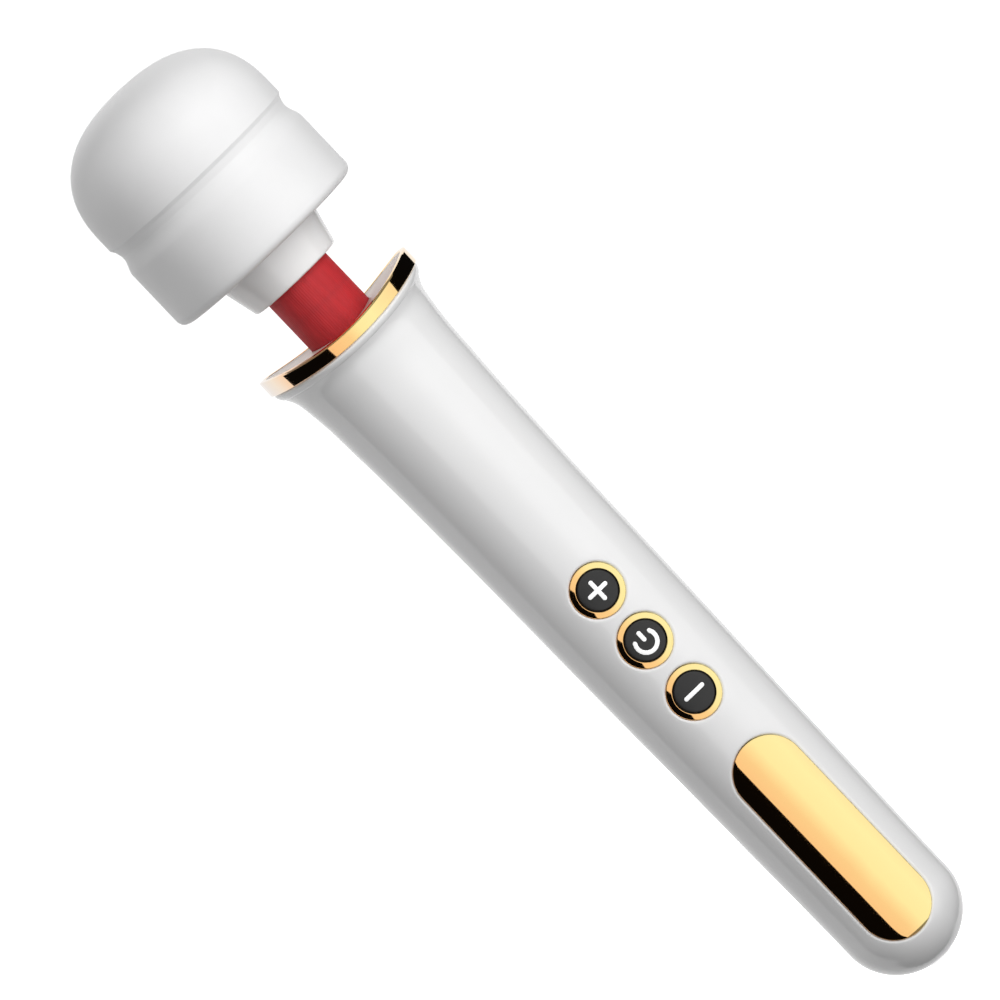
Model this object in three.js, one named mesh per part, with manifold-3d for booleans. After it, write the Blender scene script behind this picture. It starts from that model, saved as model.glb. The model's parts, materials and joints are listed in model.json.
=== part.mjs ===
// Cordless wand massager: a motor head under a silicone cover, a flexible sprung neck, and a slim
// handle with three buttons. Lengths are millimetres and angles are radians unless a name says degrees.
// +Z runs along the wand from the butt to the head, the buttons face -Y, and the origin is the
// bottom of the butt, on the axis.
import * as THREE from "three";
import { mergeVertices } from "three/addons/utils/BufferGeometryUtils.js";
import Module from "manifold-3d";

const wasm = await Module();
wasm.setup();

// ---- Driving dimensions ----

const GAP = 0.3; // clearance between neighbouring pieces
const FACETS = { large: 28, medium: 20, small: 12, wire: 8 };
const FAR = 60; // reach of a block or a drill that cuts right through the wand
const TALL = 240; // reach of a cut that runs right up through the handle
const BITE = 1; // how far one shape runs into another that it is joined to or cut from

const HANDLE = {
  wall: 2.6,
  buttRadius: 17.7,
  buttHeight: 17,
  // [radius, height] where the outline changes slope, from the rounded butt up to the flared lip
  stations: [
    [17.7, 17],
    [18.3, 60],
    [19.2, 118],
    [20.0, 172],
    [21.0, 204],
    [22.1, 220.5],
    [23.3, 227],
    [25.3, 230.6],
    [26.3, 232.4],
  ],
  lip: 232.4,
};

// The mouth is a saddle: it dips at the front and back, more at the gold ring's edge than at the lip.
const SADDLE = { radius: 26.3, start: 219, lipDip: 2.9, ringTop: 237.4, ringDip: 4.3 };

const RING = { inner: 25.0, outer: 26.65, bottom: 232.7, edge: 0.7, foot: 0.2 };
const DECK = {
  hole: 10.7,
  radius: 24.6,
  top: 233.8,
  bottom: 232.75,
  dip: 1.8,
  skirtOuter: 20.1,
  skirtInner: 19.3,
  skirtFoot: 228,
};
const LEDGE = { inner: 13.5, bottom: 218, top: 225.2 };

const NECK = {
  pivot: 242,
  bottom: 229.6,
  top: 257.1,
  outer: 10.4,
  inner: 8.3,
  lowerFlange: { radius: 13.5, thick: 2.3 },
  upperFlange: { radius: 12.8, thick: 2.3 },
  springRadius: 7.0,
  springWire: 0.9,
  springTurns: 7,
  springStepsPerTurn: 9,
  springSides: 6,
  spigotOuter: 5.4,
  spigotInner: 3.5,
};

const BASE_PLATE = { radius: 19, bottom: 225.5, top: 229.3, spigotTop: 236 };
const PLATE_SCREW = { circle: 16.2, shank: 1.5, head: 2.4, headThick: 1.6, tip: 219.5 };

// The head's heights are measured from its flat underside.
const UNDERSIDE = 262;
const HEAD = {
  radius: 31.1,
  corner: 2.7,
  cornerInset: 0.78, // how far the middle of the rounded corner stands in from a sharp one, both ways
  shoulder: 21.2,
  shoulderBulge: 0.4,
  grooveRadius: 29.8,
  grooveLow: 24.2,
  grooveHigh: 25.4,
  browRadius: 31.05,
  brow: 28.3,
  domeCentre: 32,
  domeRise: 26,
  domePower: 2.45,
  skin: 3.0,
  hole: 17.3,
};
const COLLAR = { low: 14.3, high: 17.0, bottom: -11, bevel: 0.7, bore: 10.7, seat: 13.1, thread: 14.6 };
const CORE = {
  radius: 27.6,
  wall: 2.0,
  floor: 2.7,
  joint: 27.0,
  lip: 1.7,
  lipDrop: 4,
  boss: 14.3,
  spigotBottom: -13,
  postWall: 0.6,
};

const MOTOR = {
  radius: 12.2,
  wall: 0.6,
  bottom: 12,
  top: 41,
  lid: 0.8,
  capThick: 2.3,
  bushRadius: 2.9,
  shaftRadius: 1.15,
  shaftBottom: 15,
  shaftTop: 51.5,
  armatureRadius: 9.0,
  armatureBottom: 17,
  armatureTop: 36,
  slots: 3,
  slotHalf: 0.9,
  slotInner: 4.5,
};
const MAGNET = { inner: 9.5, outer: 11.3, bottom: 16, top: 37, spread: (2 * Math.PI) / 3 };
const WEIGHT = { radius: 11, hub: 4, bottom: 43, top: 50.5 };
const MOUNT = {
  inner: 12.5,
  outer: 14.3,
  reach: 24.7,
  arms: 3,
  arm: 5.4,
  bottom: 14,
  top: 22,
  screwCircle: 20,
};
const MOUNT_SCREW = { shank: 1.2, head: 2.1, headThick: 1.4, tip: 8.5 };

const BUTTONS = [
  { name: "minus", z: 98.7 },
  { name: "power", z: 117.7 },
  { name: "plus", z: 136.2 },
];
const BUTTON = {
  wellBack: -10,
  ringOuter: 7.6,
  ringInner: 6.05,
  ringBack: -15.6,
  cap: 5.75,
  flange: 7.1,
  flangeFront: -15.2,
  flangeBack: -14.2,
  post: 2.0,
  postBack: -12.9,
};
const SWITCH = {
  half: 3.1,
  front: -11.2,
  back: -7.9,
  plunger: 1.75,
  plungerFront: -12.6,
  plungerBack: -10.4,
  depth: 1.6,
};

const PANEL = { bottom: 10.6, top: 79.0, width: 20.3, thick: 1.0 };

const BOARD = { half: 11.5, bottom: 89.5, top: 150.5, front: -7.6, back: -6.0 };
const CHIP = { half: 4, z: 124, thick: 1.5 };
const BOARD_POST = { x: 9, low: 93.5, high: 146.5, radius: 2.4 };
const BOARD_SCREW = { shank: 1.0, head: 1.9, headThick: 1.4, tip: -13 };

const SHELL_SCREW_Z = [158, 196];
const SHELL_SCREW = { shank: 1.5, head: 2.8, headThick: 2.5, seat: 7.3, tip: -8.5 };
const SHELL_BOSS = { radius: 4.5, plugFront: 10.1 };

const CELL = { radius: 9.2, bottom: 22.5, top: 87.5, nub: 3.2, nubTop: 88.5 };
const CAGE = { inner: 9.5, outer: 11.0, reach: 14.6, fin: 1.6, bottom: 24, top: 84 };
const JACK = {
  nose: 3.1,
  body: 4.5,
  shoulder: 4.3,
  top: 14.5,
  socket: 1.75,
  socketTop: 11,
  pin: 0.5,
  pinBottom: 2,
};

const LEAD_RADIUS = 1.3;
const THIN_LEAD_RADIUS = 0.8;

// ---- Finishes ----

const FINISHES = {
  glossWhite: { color: 0xf4f5f6, roughness: 0.18, metalness: 0 },
  siliconeWhite: { color: 0xf0f1f2, roughness: 0.5, metalness: 0 },
  siliconeRed: { color: 0xb8232f, roughness: 0.5, metalness: 0 },
  gold: { color: 0xf0b765, roughness: 0.08, metalness: 1 },
  champagne: { color: 0xcfc0ae, roughness: 0.35, metalness: 0.4 },
  charcoal: { color: 0x35353a, roughness: 0.4, metalness: 0 },
  blackPlastic: { color: 0x1b1b1d, roughness: 0.5, metalness: 0 },
  greyPlastic: { color: 0xa9acae, roughness: 0.5, metalness: 0 },
  steel: { color: 0xb9bcc0, roughness: 0.3, metalness: 1 },
  brass: { color: 0xc79a4a, roughness: 0.35, metalness: 1 },
  magnet: { color: 0x3b3d40, roughness: 0.6, metalness: 0.2 },
  boardGreen: { color: 0x1d6b3a, roughness: 0.45, metalness: 0 },
  cellWrap: { color: 0x2f6fb3, roughness: 0.35, metalness: 0 },
  rubber: { color: 0x242426, roughness: 0.7, metalness: 0 },
};

const letters = ["a", "b", "c", "d"]; // name endings of the pieces of a set

// ---- From three.js geometry to solids and back ----

// A closed geometry as a solid that can be joined and cut. Triangles that vanish on the axis are dropped.
function solid(geometry) {
  const bare = geometry.clone();
  bare.deleteAttribute("normal");
  bare.deleteAttribute("uv");
  const merged = mergeVertices(bare, 1e-4);
  const corners = merged.index.array;
  const triVerts = [];
  for (let i = 0; i < corners.length; i += 3) {
    const [a, b, c] = [corners[i], corners[i + 1], corners[i + 2]];
    if (a !== b && b !== c && c !== a) triVerts.push(a, b, c);
  }
  return new wasm.Manifold(
    new wasm.Mesh({
      numProp: 3,
      vertProperties: new Float32Array(merged.attributes.position.array),
      triVerts: new Uint32Array(triVerts),
    }),
  );
}

// A named mesh with its own material.
function piece(name, shape, finish) {
  const { vertProperties, triVerts } = shape.getMesh();
  const geometry = new THREE.BufferGeometry();
  geometry.setAttribute("position", new THREE.BufferAttribute(vertProperties, 3));
  geometry.setIndex(new THREE.BufferAttribute(triVerts, 1));
  geometry.computeVertexNormals();
  const mesh = new THREE.Mesh(geometry, new THREE.MeshStandardMaterial(FINISHES[finish]));
  mesh.name = name;
  return mesh;
}

function group(...members) {
  const made = new THREE.Group();
  made.add(...members);
  return made;
}

function placed(object, x, y, z) {
  object.position.set(x, y, z);
  return object;
}

// ---- Basic shapes ----

// A geometry turned about Z from [radius, height] points, which end on the axis or close on themselves.
function turnedGeometry(points, facets) {
  const outline = points.map(([radius, height]) => new THREE.Vector2(radius, height));
  if (THREE.ShapeUtils.area(outline) < 0) outline.reverse();
  const onAxis = outline[0].x === 0 && outline.at(-1).x === 0;
  if (!onAxis) outline.push(outline[0].clone());
  return new THREE.LatheGeometry(outline, facets).rotateX(Math.PI / 2);
}

function turned(points, facets) {
  return solid(turnedGeometry(points, facets));
}

function rod(radius, bottom, top, facets = FACETS.small) {
  return turned([[0, bottom], [radius, bottom], [radius, top], [0, top]], facets);
}

function tube(inner, outer, bottom, top, facets = FACETS.medium) {
  return turned([[inner, bottom], [outer, bottom], [outer, top], [inner, top]], facets);
}

// A rod along Y between two depths, with its axis at x and z.
function rodAlongY(radius, yFront, yBack, z, x = 0, facets = FACETS.medium) {
  const length = yBack - yFront;
  const geometry = new THREE.CylinderGeometry(radius, radius, length, facets);
  return solid(geometry.translate(x, yFront + length / 2, z));
}

function block(low, high) {
  const size = high.map((value, i) => value - low[i]);
  const middle = high.map((value, i) => (value + low[i]) / 2);
  return solid(new THREE.BoxGeometry(...size).translate(...middle));
}

// A flat shape in X and Y, pulled up between two heights. An arc takes two facets for each curve segment.
function raised(shape, bottom, top, curveSegments = 5) {
  const options = { depth: top - bottom, bevelEnabled: false, curveSegments };
  return solid(new THREE.ExtrudeGeometry(shape, options).translate(0, 0, bottom));
}

function disc(radius) {
  return new THREE.Shape().absarc(0, 0, radius, 0, 2 * Math.PI, false);
}

// A wire swept along a curve.
function swept(curve, radius, steps, sides = FACETS.wire) {
  const options = { steps, extrudePath: curve, bevelEnabled: false, curveSegments: sides / 2 };
  return solid(new THREE.ExtrudeGeometry(disc(radius), options));
}

function lead(points, radius, steps) {
  const corners = points.map((point) => new THREE.Vector3(...point));
  return swept(new THREE.CatmullRomCurve3(corners, false, "centripetal"), radius, steps);
}

// Points at even turns round the Z axis.
function roundAxis(count, radius, startDegrees) {
  return Array.from({ length: count }, (_, i) => {
    const angle = THREE.MathUtils.degToRad(startDegrees + (i * 360) / count);
    return [radius * Math.cos(angle), radius * Math.sin(angle)];
  });
}

function joined(...shapes) {
  return shapes.reduce((whole, next) => whole.add(next));
}

const BACKWARDS = [-90, 0, 0]; // turn, in degrees, that points a screw's head to the wand's back

// A screw that stands on Z, its head from 0 upwards and its shank down to -length.
function screw({ shank, head, headThick }, length) {
  return joined(rod(head, 0, headThick), rod(shank, -length, headThick / 2));
}

// ---- The handle's outline ----

const handleCurve = new THREE.CatmullRomCurve3(
  HANDLE.stations.map(([radius, height]) => new THREE.Vector3(radius, height, 0)),
  false,
  "centripetal",
);

// [radius, height] points from the butt's pole to the lip, moved inwards by inset.
function handleOutline(inset, buttSteps, sideSteps) {
  const points = [];
  for (let i = 0; i < buttSteps; i++) {
    const angle = (i / buttSteps) * (Math.PI / 2);
    const radius = (HANDLE.buttRadius - inset) * Math.sin(angle);
    points.push([radius, HANDLE.buttHeight - (HANDLE.buttHeight - inset) * Math.cos(angle)]);
  }
  for (const point of handleCurve.getPoints(sideSteps)) points.push([point.x - inset, point.y]);
  return points;
}

// How far the saddle dips at a height, at the very front or back.
function saddleDip(height) {
  if (height <= SADDLE.start) return 0;
  if (height <= HANDLE.lip) {
    return SADDLE.lipDip * THREE.MathUtils.smoothstep(height, SADDLE.start, HANDLE.lip);
  }
  const above = (height - HANDLE.lip) / (SADDLE.ringTop - HANDLE.lip);
  return THREE.MathUtils.lerp(SADDLE.lipDip, SADDLE.ringDip, above);
}

// Bends a turned geometry into the saddle: each point goes down by its dip times (y / radius) squared.
function saddled(geometry, dipAt = saddleDip) {
  const position = geometry.attributes.position;
  for (let i = 0; i < position.count; i++) {
    const y = position.getY(i) / SADDLE.radius;
    position.setZ(i, position.getZ(i) - dipAt(position.getZ(i)) * y * y);
  }
  return geometry;
}

// The handle's outer form moved inwards by inset, as a filled solid up to the lip.
function handleForm(inset, buttSteps = 5, sideSteps = 11) {
  const points = [...handleOutline(inset, buttSteps, sideSteps), [0, HANDLE.lip]];
  return solid(saddled(turnedGeometry(points, FACETS.large)));
}

const outerForm = handleForm(0);

// ---- Handle shells ----

function plateScrewPlaces() {
  return roundAxis(letters.length, PLATE_SCREW.circle, 45);
}

function hollowHandle() {
  const mouth = HANDLE.stations.at(-1)[0] - HANDLE.wall;
  const inner = [...handleOutline(HANDLE.wall, 3, 8), [mouth, TALL], [0, TALL]];
  const dipAt = (height) => (height > HANDLE.lip ? 0 : saddleDip(height));
  const hollow = solid(saddled(turnedGeometry(inner, FACETS.large), dipAt));
  const ledge = tube(LEDGE.inner, FAR, LEDGE.bottom, LEDGE.top, FACETS.large);
  let made = outerForm.subtract(hollow.subtract(ledge));
  for (const [x, y] of plateScrewPlaces()) {
    made = made.subtract(rod(PLATE_SCREW.shank + GAP, PLATE_SCREW.tip - GAP, TALL).translate(x, y, 0));
  }
  return made.subtract(rod(JACK.nose + GAP, -BITE, HANDLE.wall + BITE));
}

const shell = hollowHandle();

function panelShape(width, height) {
  const radius = width / 2;
  const reach = height / 2 - radius;
  const shape = new THREE.Shape();
  shape.absarc(0, reach, radius, 0, Math.PI, false);
  shape.absarc(0, -reach, radius, Math.PI, 2 * Math.PI, false);
  return shape;
}

// The oval of the front panel, grown by grow all round, as a prism that runs forwards from the axis.
function panelPrism(grow) {
  const shape = panelShape(PANEL.width + 2 * grow, PANEL.top - PANEL.bottom + 2 * grow);
  const geometry = new THREE.ExtrudeGeometry(shape, { depth: FAR, bevelEnabled: false, curveSegments: 4 });
  return solid(geometry.rotateX(Math.PI / 2).translate(0, 0, (PANEL.bottom + PANEL.top) / 2));
}

function panelPlate() {
  return panelPrism(0).intersect(outerForm).subtract(handleForm(PANEL.thick));
}

// Posts and bosses end inside the shell's wall, short of its outer face.
const bossLimit = handleForm(BITE);

function boardPost(x, z) {
  return rodAlongY(BOARD_POST.radius, -FAR, BOARD.front - GAP, z, x, FACETS.small).intersect(bossLimit);
}

function frontShell() {
  let made = shell.intersect(block([-FAR, -FAR, -BITE], [FAR, -GAP / 2, TALL]));
  for (const z of SHELL_SCREW_Z) {
    const boss = rodAlongY(SHELL_BOSS.radius, -FAR, -GAP / 2, z).intersect(bossLimit);
    const pilot = rodAlongY(SHELL_SCREW.shank + GAP, SHELL_SCREW.tip - GAP, 0, z, 0, FACETS.small);
    made = made.add(boss).subtract(pilot);
  }
  for (const x of [-BOARD_POST.x, BOARD_POST.x]) {
    for (const z of [BOARD_POST.low, BOARD_POST.high]) made = made.add(boardPost(x, z));
  }
  for (const [x, z] of boardScrewPlaces()) {
    const pilot = rodAlongY(BOARD_SCREW.shank + GAP, BOARD_SCREW.tip - GAP, 0, z, x, FACETS.wire);
    made = made.subtract(pilot);
  }
  for (const { z } of BUTTONS) {
    made = made.subtract(rodAlongY(BUTTON.ringOuter + GAP, -FAR, BUTTON.wellBack, z));
  }
  return made.subtract(panelPrism(GAP).subtract(handleForm(PANEL.thick + GAP)));
}

function backShell() {
  const { shank, head, seat } = SHELL_SCREW;
  let made = shell.intersect(block([-FAR, GAP / 2, -BITE], [FAR, FAR, TALL]));
  for (const z of SHELL_SCREW_Z) {
    const boss = rodAlongY(SHELL_BOSS.radius, GAP / 2, FAR, z).intersect(bossLimit);
    const clearance = rodAlongY(shank + GAP, 0, seat, z, 0, FACETS.small);
    const counterbore = rodAlongY(head + GAP, seat - GAP, FAR, z);
    made = made.add(boss).subtract(clearance).subtract(counterbore);
  }
  return made;
}

function screwPlug(z) {
  return rodAlongY(SHELL_SCREW.head, SHELL_BOSS.plugFront, FAR, z).intersect(outerForm);
}

// ---- Mouth ----

function collarRing() {
  const { inner, outer, bottom, edge, foot } = RING;
  const top = SADDLE.ringTop;
  const points = [
    [inner, bottom],
    [outer - foot, bottom],
    [outer, bottom + edge],
    [outer, top - edge],
    [outer - edge / 2, top - edge / 5],
    [(inner + outer) / 2, top],
    [inner + edge / 2, top - edge / 5],
    [inner, top - edge],
  ];
  return solid(saddled(turnedGeometry(points, FACETS.large)));
}

function mouthDeck() {
  const points = [
    [DECK.hole, DECK.bottom],
    [DECK.hole, DECK.top],
    [DECK.radius, DECK.top],
    [DECK.radius, DECK.bottom],
    [DECK.skirtOuter, DECK.bottom],
    [DECK.skirtOuter, DECK.skirtFoot],
    [DECK.skirtInner, DECK.skirtFoot],
    [DECK.skirtInner, DECK.bottom],
  ];
  return solid(saddled(turnedGeometry(points, FACETS.large), () => DECK.dip));
}

// ---- Neck ----

function neckBase() {
  let plate = turned(
    [
      [NECK.spigotInner, BASE_PLATE.bottom],
      [BASE_PLATE.radius, BASE_PLATE.bottom],
      [BASE_PLATE.radius, BASE_PLATE.top],
      [NECK.spigotOuter, BASE_PLATE.top],
      [NECK.spigotOuter, BASE_PLATE.spigotTop],
      [NECK.spigotInner, BASE_PLATE.spigotTop],
    ],
    FACETS.medium,
  );
  for (const [x, y] of plateScrewPlaces()) {
    plate = plate.subtract(rod(PLATE_SCREW.shank + GAP, 0, TALL).translate(x, y, 0));
  }
  return plate;
}

// Heights inside the neck's group are measured from the pivot.
function neckSleeve() {
  const { inner, outer, lowerFlange, upperFlange } = NECK;
  const bottom = NECK.bottom - NECK.pivot;
  const top = NECK.top - NECK.pivot;
  return turned(
    [
      [inner, bottom],
      [lowerFlange.radius, bottom],
      [lowerFlange.radius, bottom + lowerFlange.thick],
      [outer, bottom + lowerFlange.thick],
      [outer, top - upperFlange.thick],
      [upperFlange.radius, top - upperFlange.thick],
      [upperFlange.radius, top],
      [inner, top],
    ],
    FACETS.medium,
  );
}

class Coil extends THREE.Curve {
  getPoint(t) {
    const endRoom = NECK.springWire + GAP;
    const low = NECK.bottom - NECK.pivot + endRoom;
    const high = NECK.top - NECK.pivot - endRoom;
    const angle = 2 * Math.PI * NECK.springTurns * t;
    const radius = NECK.springRadius;
    return new THREE.Vector3(radius * Math.cos(angle), radius * Math.sin(angle), low + (high - low) * t);
  }
}

function neckSpring() {
  const steps = NECK.springTurns * NECK.springStepsPerTurn;
  return swept(new Coil(), NECK.springWire, steps, NECK.springSides);
}

// ---- Head: heights from its underside ----

// Points of a dome from its rim to its pole: a superellipse in radius and height.
function domePoints(radius, rise, steps) {
  return Array.from({ length: steps + 1 }, (_, i) => {
    const angle = (i / steps) * (Math.PI / 2);
    const power = 2 / HEAD.domePower;
    const height = HEAD.domeCentre + rise * Math.sin(angle) ** power;
    return [i === steps ? 0 : radius * Math.cos(angle) ** power, height];
  });
}

function headCover() {
  const { radius, corner, cornerInset, shoulder, grooveRadius, grooveLow, skin, hole } = HEAD;
  const shoulderMiddle = [(radius + grooveRadius) / 2, (shoulder + grooveLow) / 2 + HEAD.shoulderBulge];
  const outside = [
    [hole, 0],
    [radius - corner, 0],
    [radius - cornerInset, cornerInset],
    [radius, corner],
    [radius, shoulder],
    shoulderMiddle,
    [grooveRadius, grooveLow],
    [grooveRadius, HEAD.grooveHigh],
    [HEAD.browRadius, HEAD.brow],
    ...domePoints(radius, HEAD.domeRise, 8),
  ];
  const inside = domePoints(radius - skin, HEAD.domeRise - skin, 6).reverse();
  return turned([...outside, ...inside, [radius - skin, skin], [hole, skin]], FACETS.large);
}

function headDome() {
  const outer = CORE.radius;
  const inner = outer - CORE.wall;
  const rise = HEAD.domeRise - HEAD.skin - 2 * GAP;
  const lipOuter = inner - 2 * GAP;
  const lipInner = lipOuter - CORE.lip;
  const joint = CORE.joint + GAP;
  const lip = CORE.joint - CORE.lipDrop;
  return turned(
    [
      [outer, joint],
      ...domePoints(outer, rise, 6),
      ...domePoints(inner, rise - CORE.wall, 6).reverse(),
      [lipInner, joint + CORE.wall],
      [lipInner, lip],
      [lipOuter, lip],
      [lipOuter, joint],
    ],
    FACETS.medium,
  );
}

function mountScrewPlaces() {
  return roundAxis(MOUNT.arms, MOUNT.screwCircle, 90);
}

function headBase() {
  const outer = CORE.radius;
  const inner = outer - CORE.wall - GAP;
  const bottom = HEAD.skin + GAP;
  const floor = bottom + CORE.floor;
  let made = turned(
    [
      [NECK.spigotInner, CORE.spigotBottom],
      [NECK.spigotOuter, CORE.spigotBottom],
      [NECK.spigotOuter, NECK.top + GAP - UNDERSIDE],
      [CORE.boss, NECK.top + GAP - UNDERSIDE],
      [CORE.boss, bottom],
      [outer, bottom],
      [outer, CORE.joint],
      [inner, CORE.joint],
      [inner, floor],
      [NECK.spigotInner, floor],
    ],
    FACETS.medium,
  );
  for (const [x, y] of mountScrewPlaces()) {
    const post = rod(MOUNT_SCREW.head + CORE.postWall, floor - BITE, MOUNT.bottom - GAP);
    const pilot = rod(MOUNT_SCREW.shank + GAP, MOUNT_SCREW.tip - GAP, FAR, FACETS.wire);
    made = made.add(post.translate(x, y, 0)).subtract(pilot.translate(x, y, 0));
  }
  return made;
}

function headCollar() {
  const { low, high, bottom, bevel, bore, seat, thread } = COLLAR;
  const step = NECK.top - UNDERSIDE;
  const ledge = step - NECK.upperFlange.thick - GAP;
  return turned(
    [
      [bore, bottom],
      [low - bevel, bottom],
      [low, bottom + bevel],
      [high, 0],
      [high, HEAD.skin],
      [thread, HEAD.skin],
      [thread, step],
      [seat, step],
      [seat, ledge],
      [bore, ledge],
    ],
    FACETS.medium,
  );
}

// ---- Motor and rotor, in the head's heights ----

function motorCan() {
  const { radius, wall, bottom, top, lid, bushRadius } = MOTOR;
  return turned(
    [
      [radius - wall, bottom],
      [radius, bottom],
      [radius, top],
      [bushRadius + GAP, top],
      [bushRadius + GAP, top - lid],
      [radius - wall, top - lid],
    ],
    FACETS.medium,
  );
}

function motorEndCap() {
  const radius = MOTOR.radius - MOTOR.wall - GAP;
  return rod(radius, MOTOR.bottom - GAP, MOTOR.bottom + MOTOR.capThick, FACETS.medium);
}

function motorMagnet(middleDegrees) {
  const middle = THREE.MathUtils.degToRad(middleDegrees);
  const start = middle - MAGNET.spread / 2;
  const end = middle + MAGNET.spread / 2;
  const shape = new THREE.Shape();
  shape.absarc(0, 0, MAGNET.outer, start, end, false);
  shape.absarc(0, 0, MAGNET.inner, end, start, true);
  return raised(shape, MAGNET.bottom, MAGNET.top);
}

function shaftBush() {
  const bottom = MOTOR.top - MOTOR.lid - BITE;
  const top = WEIGHT.bottom - 2 * GAP;
  return tube(MOTOR.shaftRadius + GAP, MOTOR.bushRadius, bottom, top, FACETS.small);
}

function motorArmature() {
  const { shaftRadius, armatureRadius, armatureBottom, armatureTop, slots, slotHalf, slotInner } = MOTOR;
  let made = tube(shaftRadius + GAP, armatureRadius, armatureBottom, armatureTop);
  for (let i = 0; i < slots; i++) {
    const slot = block([slotInner, -slotHalf, armatureBottom - BITE], [FAR, slotHalf, armatureTop + BITE]);
    made = made.subtract(slot.rotate([0, 0, (i * 360) / slots]));
  }
  return made;
}

function eccentricWeight() {
  const shape = new THREE.Shape();
  shape.absarc(0, 0, WEIGHT.radius, Math.PI, 2 * Math.PI, false);
  shape.lineTo(WEIGHT.hub, 0);
  shape.absarc(0, 0, WEIGHT.hub, 0, Math.PI, false);
  shape.lineTo(-WEIGHT.radius, 0);
  const bore = rod(MOTOR.shaftRadius + GAP, 0, FAR, FACETS.small);
  return raised(shape, WEIGHT.bottom, WEIGHT.top, 14).subtract(bore);
}

function motorMount() {
  let made = tube(MOUNT.inner, MOUNT.outer, MOUNT.bottom, MOUNT.top);
  const core = rod(MOUNT.inner, 0, FAR, FACETS.medium);
  for (let i = 0; i < MOUNT.arms; i++) {
    const arm = block([0, -MOUNT.arm / 2, MOUNT.bottom], [MOUNT.reach, MOUNT.arm / 2, MOUNT.top]);
    made = made.add(arm.rotate([0, 0, 90 + (i * 360) / MOUNT.arms]));
  }
  made = made.subtract(core);
  for (const [x, y] of mountScrewPlaces()) {
    made = made.subtract(rod(MOUNT_SCREW.shank + GAP, 0, FAR, FACETS.wire).translate(x, y, 0));
  }
  return made;
}

// ---- Buttons and board ----

function buttonRing(z) {
  const { ringOuter, ringInner, ringBack } = BUTTON;
  const bore = rodAlongY(ringInner, -FAR - BITE, 0, z);
  return rodAlongY(ringOuter, -FAR, ringBack, z).subtract(bore).intersect(outerForm);
}

function buttonCap(z) {
  const { cap, flange, flangeFront, flangeBack, post, postBack } = BUTTON;
  const face = rodAlongY(cap, -FAR, flangeBack, z).intersect(outerForm);
  const seat = rodAlongY(flange, flangeFront, flangeBack, z);
  return joined(face, seat, rodAlongY(post, flangeFront, postBack, z, 0, FACETS.small));
}

function switchBody(z) {
  const { half, front, back, plunger, depth } = SWITCH;
  const well = rodAlongY(plunger + GAP, front - BITE, front + depth, z, 0, FACETS.small);
  return block([-half, front, z - half], [half, back, z + half]).subtract(well);
}

function switchPlunger(z) {
  return rodAlongY(SWITCH.plunger, SWITCH.plungerFront, SWITCH.plungerBack, z, 0, FACETS.small);
}

function boardScrewPlaces() {
  return [
    [-BOARD_POST.x, BOARD_POST.low],
    [BOARD_POST.x, BOARD_POST.high],
  ];
}

const boardBack = BOARD.back + GAP; // where pieces on the board's back start

function circuitBoard() {
  let board = block([-BOARD.half, BOARD.front, BOARD.bottom], [BOARD.half, BOARD.back, BOARD.top]);
  for (const [x, z] of boardScrewPlaces()) {
    board = board.subtract(rodAlongY(BOARD_SCREW.shank + GAP, -FAR, 0, z, x, FACETS.wire));
  }
  return board;
}

function controlChip() {
  const { half, z, thick } = CHIP;
  return block([-half, boardBack, z - half], [half, boardBack + thick, z + half]);
}

// ---- Power ----

function batteryCell() {
  const { radius, bottom, top, nub, nubTop } = CELL;
  const points = [[0, bottom], [radius, bottom], [radius, top], [nub, top], [nub, nubTop], [0, nubTop]];
  return turned(points, FACETS.medium);
}

function batteryCage() {
  let made = tube(CAGE.inner, CAGE.outer, CAGE.bottom, CAGE.top);
  for (const degrees of [45, 135, 225, 315]) {
    const fin = block([CAGE.outer - BITE, -CAGE.fin / 2, CAGE.bottom], [CAGE.reach, CAGE.fin / 2, CAGE.top]);
    made = made.add(fin.rotate([0, 0, degrees]));
  }
  return made;
}

function chargingJack() {
  const { nose, body, shoulder, top, socket, socketTop, pin, pinBottom } = JACK;
  return turned(
    [
      [0, top],
      [body, top],
      [body, shoulder],
      [nose, shoulder],
      [nose, 0],
      [socket, 0],
      [socket, socketTop],
      [pin, socketTop],
      [pin, pinBottom],
      [0, pinBottom],
    ],
    FACETS.small,
  );
}

// ---- Leads: centre lines from one end to the other ----

const LEAD_JOINT = 229; // height at which the handle's lead meets the neck's

const BATTERY_POSITIVE_ROUTE = [
  [1.2, 0, CELL.nubTop + GAP],
  [1.2, 0, 90.4],
  [2.0, -1.6, 94.6],
  [2.2, boardBack + 1.5, 96],
  [2.2, boardBack, 96],
];
const BATTERY_NEGATIVE_ROUTE = [
  [-2, 0, CELL.bottom - 2 * GAP],
  [-2, 0, 21],
  [-6, 0, 19],
  [-11, 0, 20.4],
  [-13, 0, 27],
  [-13, 0, 82],
  [-11.4, -0.6, 89.6],
  [-5, -2, 93],
  [-3.6, boardBack + 1.5, 94],
  [-3.6, boardBack, 94],
];
const CHARGE_ROUTE = [
  [0, 2.6, JACK.top + GAP],
  [0, 2.6, 15.6],
  [0, 6, 18],
  [0, 11.5, 20.6],
  [0, 13, 28],
  [0, 13, 74],
  [-0.6, 10, 90],
  [-1.4, 0, 98],
  [-1.6, boardBack + 1.5, 100],
  [-1.6, boardBack, 100],
];
const HANDLE_LEAD_ROUTE = [
  [4, boardBack, 146],
  [4, boardBack + 1.8, 146],
  [4.8, -1.4, 149],
  [6.6, 2.4, 156],
  [7.4, 4, 172],
  [7, 3, 198],
  [2, 0.8, 213],
  [0, 0, 221],
  [0, 0, LEAD_JOINT - GAP / 2],
];
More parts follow.
